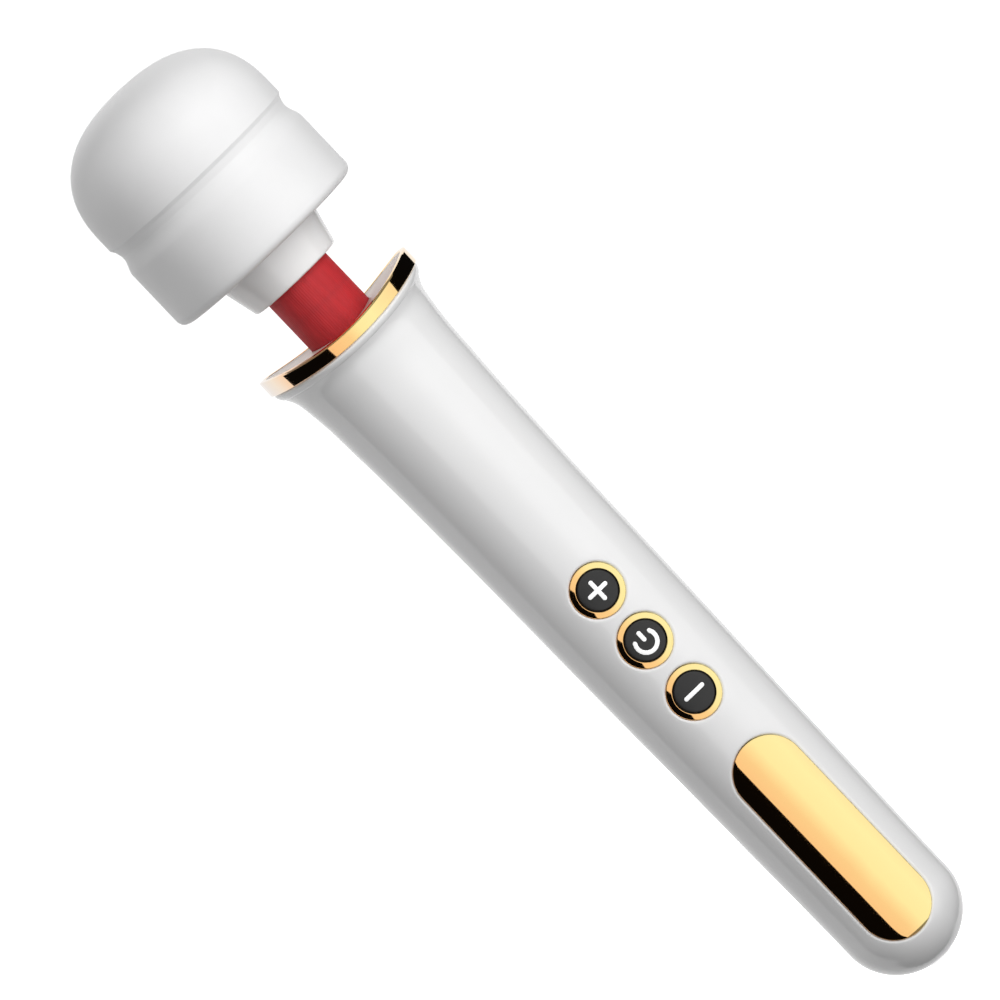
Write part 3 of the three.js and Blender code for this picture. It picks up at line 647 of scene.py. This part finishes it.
def shell_sheet(openings):
    """The front half of the handle's skin: points, the borders each point is on, and faces."""
    rows = shell_rows()
    points, borders, faces = [], [], []
    for i, height in enumerate(rows):
        radius = handle_radius(height)
        last = math.acos((SEAM_HALF + EDGES["seam"]) / radius)
        for j, angle in enumerate(span(-last, last, COLUMNS)):
            points.append(on_handle(radius * math.sin(angle), height))
            on = {"jack"} if i == 0 else {"lip"} if i == len(rows) - 1 else set()
            borders.append(on | ({"seam"} if j in (0, COLUMNS) else set()))
    blocked = set()
    for opening in openings:
        r0, r1 = [min(range(len(rows)), key=lambda k: abs(rows[k] - z)) for z in opening.reach]
        c0, c1 = COLUMNS // 2 - opening.columns, COLUMNS // 2 + opening.columns
        blocked |= {(r, c) for r in range(r0, r1) for c in range(c0, c1)}
        ring = [r * (COLUMNS + 1) + c for r, c in rim_loop((r0, r1), (c0, c1))]
        outside = [points[k] for k in ring]
        for share in span(0, 1, OPENING_STEPS)[1:]:
            new = []
            for outer in outside:
                x, z = opening.rim(outer.x, outer.z)
                new.append(len(points))
                points.append(on_handle(outer.x + (x - outer.x) * share, outer.z + (z - outer.z) * share))
                borders.append({opening.kind} if share == 1 else set())
            for k in range(len(ring)):
                after = (k + 1) % len(ring)
                faces.append((ring[k], ring[after], new[after], new[k]))
            ring = new
    for r in range(len(rows) - 1):
        for c in range(COLUMNS):
            if (r, c) not in blocked:
                a = r * (COLUMNS + 1) + c
                faces.append((a, a + 1, a + COLUMNS + 2, a + COLUMNS + 1))
    return points, borders, faces


def border_edges(faces):
    """Edges that only one face has, in that face's direction."""
    seen = dict.fromkeys(edge for face in faces for edge in zip(face, face[1:] + face[:1]))
    return [(a, b) for a, b in seen if (b, a) not in seen]


def border_pushes(points, normals, borders, edges):
    """For each border point, how far and which way its rounded edge reaches, one push per border."""
    ways = {}
    for a, b in edges:
        kind = sorted(borders[a] & borders[b])[0]
        out = (points[b] - points[a]).cross(normals[a] + normals[b]).normalized()
        for k in (a, b):
            ways.setdefault(k, {}).setdefault(kind, []).append(out)
    pushes = {}
    for k, kinds in ways.items():
        push = Vector((0, 0, 0))
        for kind, outs in kinds.items():
            push += sum(outs, Vector((0, 0, 0))).normalized() * EDGES[kind]
        pushes[k] = (push, max(EDGES[kind] for kind in kinds))
    return pushes


def thick_shell(openings, turn):
    """The sheet made into a moulding with a wall, and with a rounded edge along every border."""
    points, borders, faces = shell_sheet(openings)
    normals = [handle_normal(p) for p in points]
    edges = border_edges(faces)
    pushes = border_pushes(points, normals, borders, edges)
    count = len(points)
    points = points + [p - n * WALL for p, n in zip(points, normals)]
    solid = faces + [tuple(k + count for k in reversed(face)) for face in faces]
    chains = {}
    for k, (push, reach) in pushes.items():
        chains[k] = [k]
        for angle in span(0, math.pi / 2, ROLL_STEPS)[1:]:
            chains[k].append(len(points))
            sink = reach * (1 - math.cos(angle))
            points.append(points[k] + push * math.sin(angle) - normals[k] * sink)
        chains[k].append(len(points))
        points.append(points[k] + push - normals[k] * WALL)
        chains[k].append(k + count)
    for a, b in edges:
        for (a0, a1), (b0, b1) in zip(zip(chains[a], chains[a][1:]), zip(chains[b], chains[b][1:])):
            solid.append((b0, a0, a1, b1))
    spin = Matrix.Rotation(turn, 3, "Z")
    return [spin @ saddled(p) for p in points], solid


def button_height(name):
    return middle(f"button_ring_{name}").z


def front_openings():
    """The openings of the oval plate and the three buttons."""
    columns = BLOCK["front_columns"]
    heights = [button_height(name) for name in BUTTON_NAMES]
    bounds = [(PANEL_HIGH.z + heights[0] - RING["outer"]) / 2]
    bounds += [(a + b) / 2 for a, b in zip(heights, heights[1:])]
    bounds.append(heights[-1] + (heights[-1] - bounds[-1]) + BLOCK["above_plus"])
    reach = (PANEL_LOW.z - BLOCK["below_panel"], bounds[0])
    openings = [Opening(PANEL_MIDDLE, PANEL_HALF, PANEL_RADIUS + INLAY_GAP, "ring", reach, columns)]
    for height, reach in zip(heights, zip(bounds, bounds[1:])):
        openings.append(Opening(height, 0, RING["outer"] + INLAY_GAP, "ring", reach, columns))
    return openings


def back_openings():
    """The openings of the two screw plugs."""
    room, radius = BLOCK["round_plug"], PLUG["radius"] + INLAY_GAP
    openings = []
    for letter in "ab":
        height = middle(f"screw_plug_{letter}").z
        reach = (height - room, height + room)
        openings.append(Opening(height, 0, radius, "plug", reach, BLOCK["back_columns"]))
    return openings


for side, openings, turn in (("front", front_openings(), 0), ("back", back_openings(), math.pi)):
    shell = made(f"shell_{side}", *thick_shell(openings, turn), "white_gloss", "handle")
    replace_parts(shell, f"{side}_shell")


# ---- Pieces set in the handle ----


def spine_directions(half_length, arc_steps, side_steps):
    """(height along the spine, across, up) for each point round an oval, anticlockwise."""
    top = [(half_length, math.cos(a), math.sin(a)) for a in span(0, math.pi, arc_steps)]
    bottom = [(-half_length, math.cos(a), math.sin(a)) for a in span(math.pi, 2 * math.pi, arc_steps)]
    if half_length == 0:
        return top[:-1] + bottom[:-1]
    left = [(z, -1, 0) for z in span(half_length, -half_length, side_steps)[1:-1]]
    right = [(z, 1, 0) for z in span(-half_length, half_length, side_steps)[1:-1]]
    return top + left + bottom + right


def inlay(height, half_length, profile, closed, turn=0.0):
    """A round or oval piece in the handle's face. profile holds (reach, stand, follow): follow 1 stands
    that far out of the handle's surface, and follow 0 stands that far from the wand's axis."""
    around = spine_directions(half_length, arc_steps=32, side_steps=30)
    points = []
    for reach, stand, follow in profile:
        for along, across, up in around:
            place = on_handle(across * reach, height + along + up * reach)
            points.append(Vector((place.x, follow * place.y - stand, place.z)))
    spin = Matrix.Rotation(turn, 3, "Z")
    return [spin @ p for p in points], strips(len(profile), len(around), closed)


def following(outline):
    """(reach, stand) points as a profile that follows the handle's surface."""
    return [(reach, stand, 1) for reach, stand in outline]


def face_to_edge(radius, top, fillet, steps=8):
    """A face from its middle outwards, then its rounded edge."""
    points = [(reach, top) for reach in span(0, radius - fillet, steps)]
    for angle in span(0, math.pi / 2, steps=5)[1:]:
        reach = radius - fillet * (1 - math.sin(angle))
        points.append((reach, top - fillet * (1 - math.cos(angle))))
    return points


def button_ring(name):
    """The gold ring round a button. The first and last corners only give its sides their direction."""
    node = f"button_ring_{name}"
    back = -high(node).y
    outer, inner, depth, bevel = RING["outer"], RING["inner"], RING["depth"], RING["bevel"]
    width = outer - inner - 2 * bevel
    face = [(inner + bevel + width * share, -RING["lean"] * share) for share in RING["rows"]]
    corners = [
        (inner, -depth, 0),
        (inner, -bevel, 0.04),
        (*face[0], 0.05),
        *[(*place, 0) for place in face[1:-1]],
        (*face[-1], 0.06),
        (outer, -bevel - RING["lean"], 0.05),
        (outer, -depth, 0),
    ]
    front = rounded(corners, steps=4)[1:-1]
    profile = following(front) + [(outer, back, 0), (inner, back, 0)]
    ring = made(f"ring_{name}", *inlay(button_height(name), 0, profile, True), "gold_mirror", "handle")
    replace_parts(ring, node)


def button_cap(name):
    """A button's cap, with a flange behind the ring and a post."""
    node = f"button_cap_{name}"
    radius, flange, post = CAP["radius"], CAP["flange"], CAP["post"]
    back = -high(node).y
    flange_back = -high(f"button_ring_{name}").y - CAP["flange_gap"] - CAP["flange_thick"]
    flange_front = flange_back + CAP["flange_thick"]
    profile = following(face_to_edge(radius, -CAP["recess"], CAP["round"]))
    profile += [(radius, flange_front, 0), (flange, flange_front, 0), (flange, flange_back, 0)]
    profile += [(post, flange_back, 0), (post, back, 0), (0, back, 0)]
    shape = inlay(button_height(name), 0, profile, False)
    cap = made(f"cap_{name}", *shape, "charcoal", f"button_{name}")
    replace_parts(cap, node)


def stroke(height, centre, length, round_start):
    """A raised mark: centre(s) gives its middle line's point and heading at a length s."""
    half = ICON["half_width"]
    quarter = span(0, math.pi / 2, steps=6)[:-1]
    samples = [(half * (1 - math.cos(a)), half * math.sin(a)) for a in quarter]
    stations = [(s, half) for s in span(half if round_start else 0, length - half, steps=14)]
    stations += [(length - s, width) for s, width in reversed(samples)]
    if round_start:
        stations = samples + stations
    points = []
    for s, width in stations:
        (x, z), heading = centre(s)
        for share, rise in ICON_SECTION:
            side = share * width
            place = on_handle(x - math.sin(heading) * side, height + z + math.cos(heading) * side)
            stand = ICON["stand"] * rise if rise > 0 else -ICON["sink"]
            points.append(Vector((place.x, place.y + CAP["recess"] - stand, place.z)))
    size = len(ICON_SECTION)
    return points, strips(len(stations), size, False) + end_caps(len(points), size)


def bar(x, z, heading):
    """A straight middle line from a point."""
    return lambda s: ((x + s * math.cos(heading), z + s * math.sin(heading)), heading)


def arc(radius, drop, start):
    """A round middle line, anticlockwise, about a point a little below the middle."""

    def centre(s):
        angle = start + s / radius
        return (radius * math.cos(angle), radius * math.sin(angle) - drop), angle + math.pi / 2

    return centre


def icon_strokes(name):
    """(middle line, length, whether its start is round) of each stroke of a button's mark."""
    half = ICON["half_width"]
    if name == "minus":
        return [(bar(-ICON["minus"] / 2, 0, 0), ICON["minus"], True)]
    if name == "plus":
        reach = ICON["plus"] / 2
        return [
            (bar(0, -reach, math.pi / 2), 2 * reach, True),
            (bar(half, 0, 0), reach - half, False),
            (bar(-half, 0, math.pi), reach - half, False),
        ]
    gap = math.radians(POWER["gap_degrees"])
    start = math.pi / 2 + gap / 2
    bar_start = POWER["bar_middle"] - POWER["bar"] / 2
    radius = POWER["radius"]
    return [
        (arc(radius, POWER["drop"], start), radius * (2 * math.pi - gap), True),
        (bar(0, bar_start, math.pi / 2), POWER["bar"], True),
    ]


def button_icon(name):
    """The white mark on a button's cap."""
    points, faces = [], []
    for centre, length, round_start in icon_strokes(name):
        more, quads = stroke(button_height(name), centre, length, round_start)
        faces += [tuple(k + len(points) for k in face) for face in quads]
        points += more
    icon = made(f"icon_{name}", points, faces, "white_mark", f"button_{name}")


def gold_panel():
    """The long oval plate."""
    outline = face_to_edge(PANEL_RADIUS, 0, PANEL["round"], steps=10)
    back = [(reach, -PANEL["thick"]) for reach in span(PANEL_RADIUS, 0, steps=8)]
    profile = following(outline + back)
    panel = made("gold_panel", *inlay(PANEL_MIDDLE, PANEL_HALF, profile, False), "gold_mirror", "handle")
    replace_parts(panel, "panel_plate")


def plug(letter):
    """The plug over a shell screw, at the back."""
    node = f"screw_plug_{letter}"
    profile = following(face_to_edge(PLUG["radius"], -PLUG["recess"], PLUG["round"], steps=4))
    profile += [(PLUG["radius"], low(node).y, 0), (0, low(node).y, 0)]
    shape = inlay(middle(node).z, 0, profile, False, math.pi)
    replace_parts(made(f"plug_{letter}", *shape, "white_gloss", "handle"), node)


for button in BUTTON_NAMES:
    button_ring(button)
    button_cap(button)
    button_icon(button)
for letter in "ab":
    plug(letter)
gold_panel()


# ---- Mouth ----


def collar_band():
    """The gold ring on the lip, with polished bevels along its top and bottom edges."""
    inner, outer = BAND["inner"], BAND["outer"]
    bottom, top = SADDLE["lip"] + BAND["lift"], SADDLE["ring_top"]
    corners = [
        (inner, bottom, 0.15),
        (outer - BAND["low_bevel"], bottom, 0.05),
        (outer, bottom + BAND["low_bevel"], 0.08),
        (outer, top - BAND["top_bevel"], 0.1),
        (outer - BAND["top_bevel"], top, 0.12),
        (inner + BAND["inner_bevel"], top, 0.12),
        (inner, top - BAND["inner_bevel"], 0.1),
    ]
    shape = turned(rounded(corners), FLATS["band"], bend=saddled)
    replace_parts(made("collar_band", *shape, "gold_mirror", "handle"), "collar_ring")


def dish_bent(point):
    """The point where the dish's dip takes it, a little by the neck and more at the rim."""
    reach = math.hypot(point.x, point.y)
    outwards = smooth(reach, DISH["hole"], DISH["rim"])
    dip = DISH["neck_dip"] + (DISH["rim_dip"] - DISH["neck_dip"]) * outwards
    return Vector((point.x, point.y, point.z - dip * (point.y / reach) ** 2))


def deck():
    """The pale dish, which climbs from the neck to the gold ring's top."""
    hole, rim, bottom, top = DISH["hole"], DISH["rim"], DISH["low"], DISH["high"]
    start, width = hole + DISH["edge"], rim - hole - 2 * DISH["edge"]
    face = []
    for share in span(0, 1, steps=20):
        face.append((start + width * share, bottom + (top - bottom) * share ** DISH["climb"]))
    outline = [
        (hole, bottom - DISH_DROPS["hole_bottom"]),
        (hole, bottom - DISH_DROPS["hole_top"]),
        *face,
        (rim, top - DISH_DROPS["rim"]),
        *DISH_UNDERSIDE,
    ]
    shape = turned(outline, FLATS["dish"], bend=dish_bent)
    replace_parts(made("deck_plate", *shape, "champagne", "handle"), "mouth_deck")


collar_band()
deck()


# ---- Neck: each bending piece is two halves that meet at the pivot ----


def halves(name, node, finish, shape):
    """shape(low, high) makes a half. The lower one runs from the node's bottom to the pivot, the upper one
    from the pivot to its top.
    """
    bottom, top = low(node).z, high(node).z
    lower = made(f"{name}_lower", *shape(bottom, PIVOT.z), finish)
    upper = made(f"{name}_upper", *shape(PIVOT.z, top), finish)
    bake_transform(lower)
    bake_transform(upper)
    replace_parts(lower, node)
    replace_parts(upper, node)


def fluted(radius, angle):
    """The sleeve's radius with its flutes, which only its outside has."""
    if radius != NECK["outer"]:
        return radius
    return radius + FLUTES["depth"] * math.cos(FLUTES["count"] * angle)


def sleeve(bottom, top):
    """Half of the red sleeve: its flange is at the end away from the pivot, and flutes run along it."""
    outer, inner, thick = NECK["outer"], NECK["inner"], NECK["flange_thick"]
    if top == PIVOT.z:
        step = bottom + thick
        side = [(outer, z) for z in span(step, top, steps=16)]
        outline = [(inner, bottom), (NECK["lower_flange"], bottom), (NECK["lower_flange"], step), *side]
        outline += [(inner, z) for z in span(top, step, steps=12)]
    else:
        step = top - thick
        side = [(outer, z) for z in span(bottom, step, steps=20)]
        outline = [*side, (NECK["upper_flange"], step), (NECK["upper_flange"], top), (inner, top)]
        outline += [(inner, z) for z in span(step, bottom, steps=14)]
    return turned(outline, FLUTES["count"] * FLUTES["facets"], ripple=fluted)


def spring(bottom, top):
    """Part of the coil spring between two heights."""
    coil_low = low("neck_spring").z + SPRING["wire"]
    coil_high = high("neck_spring").z - SPRING["wire"]
    pitch = (coil_high - coil_low) / SPRING["turns"]
    centres = []
    for z in span(max(bottom, coil_low), min(top, coil_high), steps=110):
        angle = 2 * math.pi * (z - coil_low) / pitch
        centres.append(Vector((SPRING["radius"] * math.cos(angle), SPRING["radius"] * math.sin(angle), z)))
    return swept(centres, SPRING["wire"], FLATS["spring"])


def neck_lead(bottom, top):
    """Part of the lead that runs up the spring."""
    centres = [Vector((0, 0, z)) for z in span(bottom, top, steps=24)]
    return swept(centres, LEAD_RADIUS, FLATS["lead"])


halves("neck_sleeve", "neck_sleeve", "red_silicone", sleeve)
halves("neck_coil", "neck_spring", "steel", spring)
halves("neck_lead", "lead_neck", "black_rubber", neck_lead)


# ---- Head ----


def dome(radius, rise):
    """Outline of the dome from its rim to its pole: a superellipse."""
    start = HEAD_HEIGHTS["dome"]
    power = 2 / DOME["power"]
    points = []
    for angle in span(0, math.pi / 2, steps=40)[:-1]:
        points.append((radius * math.cos(angle) ** power, start + rise * math.sin(angle) ** power))
    return [*points, (0, start + rise)]


def cover_outside():
    """From the underside round the drum, over the shoulder into the groove, and up the dome."""
    radius, groove = HEAD["radius"], HEAD["groove_radius"]
    heights, rounds = HEAD_HEIGHTS, HEAD_ROUNDS
    corners = [
        (HEAD["hole"], 0, rounds["hole"]),
        (radius, 0, rounds["corner"]),
        (radius, heights["shoulder"], 0),
    ]
    base = rounded(corners, steps=9)[:-1]
    drum = [(radius, z) for z in span(rounds["corner"], heights["shoulder"], steps=8)[1:]]
    shoulder = []
    for t in span(0, 1, steps=14)[1:]:
        drop = (radius - groove) * smooth(t, 0, 1)
        rise = (heights["groove"] - heights["shoulder"]) * t
        shoulder.append((radius - drop, heights["shoulder"] + rise))
    slope = [
        (groove, heights["groove"], 0),
        (groove, heights["crease"], rounds["crease"]),
        (groove + HEAD["brow_step"], heights["under_brow"], rounds["under_brow"]),
        (radius, heights["brow"], rounds["brow"]),
        (radius, heights["dome"], 0),
    ]
    brow = rounded(slope, steps=6)[1:-1]
    return base + drum + shoulder + brow + dome(radius, DOME["rise"])


def silicone_cover():
    """The head's cover, open underneath, with an even skin."""
    inner = HEAD["radius"] - HEAD["skin"]
    inside = dome(inner, DOME["rise"] - HEAD["skin"])[::-1]
    outline = cover_outside() + inside + [(inner, HEAD["skin"]), (HEAD["hole"], HEAD["skin"])]
    shape = turned(raised(outline, UNDERSIDE), FLATS["cover"])
    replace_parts(made("silicone_cover", *shape, "white_silicone", "head"), "head_cover")


def neck_collar():
    """The tapered ring under the head, with a seat for the sleeve's flange."""
    lower, upper, bottom = COLLAR["low"], COLLAR["high"], COLLAR["bottom"]
    step = high("neck_sleeve").z - UNDERSIDE
    ledge = step - NECK["flange_thick"] - SEAT_GAP
    corners = [(COLLAR["bore"], bottom, 0.3), (lower, bottom, 0.9), (upper, 0, 0)]
    edge = rounded(corners, steps=6)[:-1]
    side = []
    for t in span(COLLAR_START, 1, steps=14):
        side.append((lower + (upper - lower) * t, bottom * (1 - t)))
    inside = [
        (upper, HEAD["skin"]),
        (COLLAR["thread"], HEAD["skin"]),
        (COLLAR["thread"], step),
        (COLLAR["seat"], step),
        (COLLAR["seat"], ledge),
        (COLLAR["bore"], ledge),
    ]
    shape = turned(raised(edge + side + inside, UNDERSIDE), FLATS["collar"])
    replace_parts(made("neck_collar", *shape, "white_gloss", "head"), "head_collar")


silicone_cover()
neck_collar()


# ---- Charging socket ----


def socket():
    """The round socket in the butt, with its bevelled mouth and centre pin."""
    node = "charging_jack"
    top = high(node).z
    nose_bottom = low(node).z + SOCKET["recess"]
    body, nose, bore, pin = SOCKET["body"], SOCKET["nose"], SOCKET["bore"], SOCKET["pin"]
    corners = [
        (body, top, 0.3),
        (body, SOCKET["shoulder"], 0.2),
        (nose, SOCKET["shoulder"], 0),
        (nose, nose_bottom, 0.35),
        (bore, nose_bottom, 0.3),
        (bore, SOCKET["bore_top"], 0),
        (pin, SOCKET["bore_top"], 0),
        (pin, SOCKET["pin_bottom"], 0.2),
    ]
    outline = [(0, top), *rounded(corners, steps=4), (0, SOCKET["pin_bottom"])]
    shape = turned(outline, FLATS["socket"], closed=False)
    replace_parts(made("socket", *shape, "black_plastic", "handle"), node)


socket()


# ---- Better finishes on the CAD pieces that stay ----

SLOT_OF = {part["node"]: part["material_slot"] for part in frame["record"]["subparts"]}
for name, node in frame["nodes"].items():
    if not node.hide_render:
        node.data.materials.clear()
        node.data.materials.append(FINISH[SLOT_OF[name]])


# ---- Stage, lights and camera ----

FLOOR = {"size": 40, "grey": 0.92, "roughness": 0.9, "glow": 0.9}
# The ring that the reflection cards stand in, in metres
TENT = {"radius": 0.3, "bottom": -0.3, "top": 0.6}
# (name, first and last direction in degrees from the camera's side, brightness)
CARDS = [
    ("card_front", -30.4, 75, 1.03),
    ("card_left", -98.5, -30.4, 0.003),
    ("card_back", 142, 261.5, 1.0),
    ("card_right", 75, 142, 0.003),
]
# (name, azimuth and elevation in degrees, distance and size in metres, power in watts)
LAMPS = [
    ("key", 34, 12, 1.1, (0.7, 0.9), 10.4),
    ("rim", -120, 12, 1.1, (0.4, 0.9), 2.1),
    ("front", -8, 2, 1.1, (0.4, 0.9), 0.6),
    ("top", 10, 75, 1.0, (0.8, 0.8), 0.9),
    ("back", 182, 20, 1.1, (0.5, 0.9), 6.5),
]
LAMP_AIM = Vector((0, 0, 0.17))
WORLD_FILL = 0.25
# Angles in degrees, lens and sensor in millimetres, and the rest in metres
CAMERA = {
    "azimuth": -2.5, "elevation": 3.9, "roll": 43.6, "target": Vector((-1.4, 0, 170.4)) * MM,
    "width": 267.2 * MM, "lens": 1000, "sensor": 36, "clip_end": 20,
}


def aimed(name, data, azimuth, elevation, target, distance):
    """An object that looks at a target from two angles in degrees. Azimuth 0 is the wand's front."""
    a, e = math.radians(azimuth), math.radians(elevation)
    back = Vector((math.sin(a) * math.cos(e), -math.cos(a) * math.cos(e), math.sin(e)))
    item = linked(name, data)
    item.location = target + back * distance
    item.rotation_mode = "QUATERNION"
    item.rotation_quaternion = (-back).to_track_quat("-Z", "Y")
    return item


def emission(name, brightness):
    """A material that only glows, in white."""
    material = bpy.data.materials.new(name)
    material.use_nodes = True
    tree = material.node_tree
    tree.nodes.clear()
    glow = tree.nodes.new("ShaderNodeEmission")
    glow.inputs["Color"].default_value = (1, 1, 1, 1)
    glow.inputs["Strength"].default_value = brightness
    output = tree.nodes.new("ShaderNodeOutputMaterial")
    tree.links.new(glow.outputs["Emission"], output.inputs["Surface"])
    return material


def floor():
    """A pale glowing floor, which doesn't light the wand."""
    bpy.ops.mesh.primitive_plane_add(size=FLOOR["size"])
    plane = bpy.context.object
    plane.name = "floor"
    glow = {"Emission_Color": (1, 1, 1, 1), "Emission_Strength": FLOOR["glow"]}
    finish = Finish("floor", [FLOOR["grey"]] * 3, FLOOR["roughness"], **glow)
    plane.data.materials.append(finish.material)
    plane.visible_diffuse = False
    plane.visible_glossy = False


def reflection_card(name, first, last, brightness):
    """An upright curved card that only mirrors see, which shapes the gold's reflections."""
    points, faces = [], []
    angles = [math.radians(a) for a in span(first, last, steps=48)]
    for z in (TENT["bottom"], TENT["top"]):
        points += [(TENT["radius"] * math.sin(a), -TENT["radius"] * math.cos(a), z) for a in angles]
    for k in range(len(angles) - 1):
        faces.append((k, k + 1, k + 1 + len(angles), k + len(angles)))
    mesh = bpy.data.meshes.new(name)
    mesh.from_pydata(points, [], faces)
    mesh.materials.append(emission(name, brightness))
    card = linked(name, mesh)
    for rays in ("camera", "diffuse", "shadow", "transmission"):
        setattr(card, f"visible_{rays}", False)


def softbox(name, azimuth, elevation, distance, size, power):
    """A soft lamp aimed at the middle of the wand, which mirrors don't see."""
    light = bpy.data.lights.new(name, "AREA")
    light.shape = "RECTANGLE"
    light.size, light.size_y = size
    light.energy = power
    lamp = aimed(name, light, azimuth, elevation, LAMP_AIM, distance)
    lamp.visible_glossy = False


def world():
    """White behind everything, and an even grey that lights the scene."""
    studio = bpy.data.worlds.new("studio")
    bpy.context.scene.world = studio
    studio.use_nodes = True
    nodes, links = studio.node_tree.nodes, studio.node_tree.links
    nodes.clear()
    path = nodes.new("ShaderNodeLightPath")
    mix = nodes.new("ShaderNodeMixShader")
    output = nodes.new("ShaderNodeOutputWorld")
    links.new(path.outputs["Is Camera Ray"], mix.inputs["Fac"])
    for socket, strength in ((1, WORLD_FILL), (2, 1.0)):
        background = nodes.new("ShaderNodeBackground")
        background.inputs["Color"].default_value = (1, 1, 1, 1)
        background.inputs["Strength"].default_value = strength
        links.new(background.outputs["Background"], mix.inputs[socket])
    links.new(mix.outputs["Shader"], output.inputs["Surface"])


def camera():
    """A far camera with a long lens, whose view is "width" wide at the wand."""
    data = bpy.data.cameras.new("camera")
    data.lens, data.sensor_width = CAMERA["lens"], CAMERA["sensor"]
    data.clip_end = CAMERA["clip_end"]
    distance = CAMERA["width"] * CAMERA["lens"] / CAMERA["sensor"]
    eye = aimed("camera", data, CAMERA["azimuth"], CAMERA["elevation"], CAMERA["target"], distance)
    roll = Matrix.Rotation(math.radians(-CAMERA["roll"]), 3, "Z")
    eye.rotation_quaternion = eye.rotation_quaternion @ roll.to_quaternion()
    bpy.context.scene.camera = eye


floor()
for card in CARDS:
    reflection_card(*card)
for lamp in LAMPS:
    softbox(*lamp)
world()
camera()
bpy.context.scene.view_settings.view_transform = "Standard"
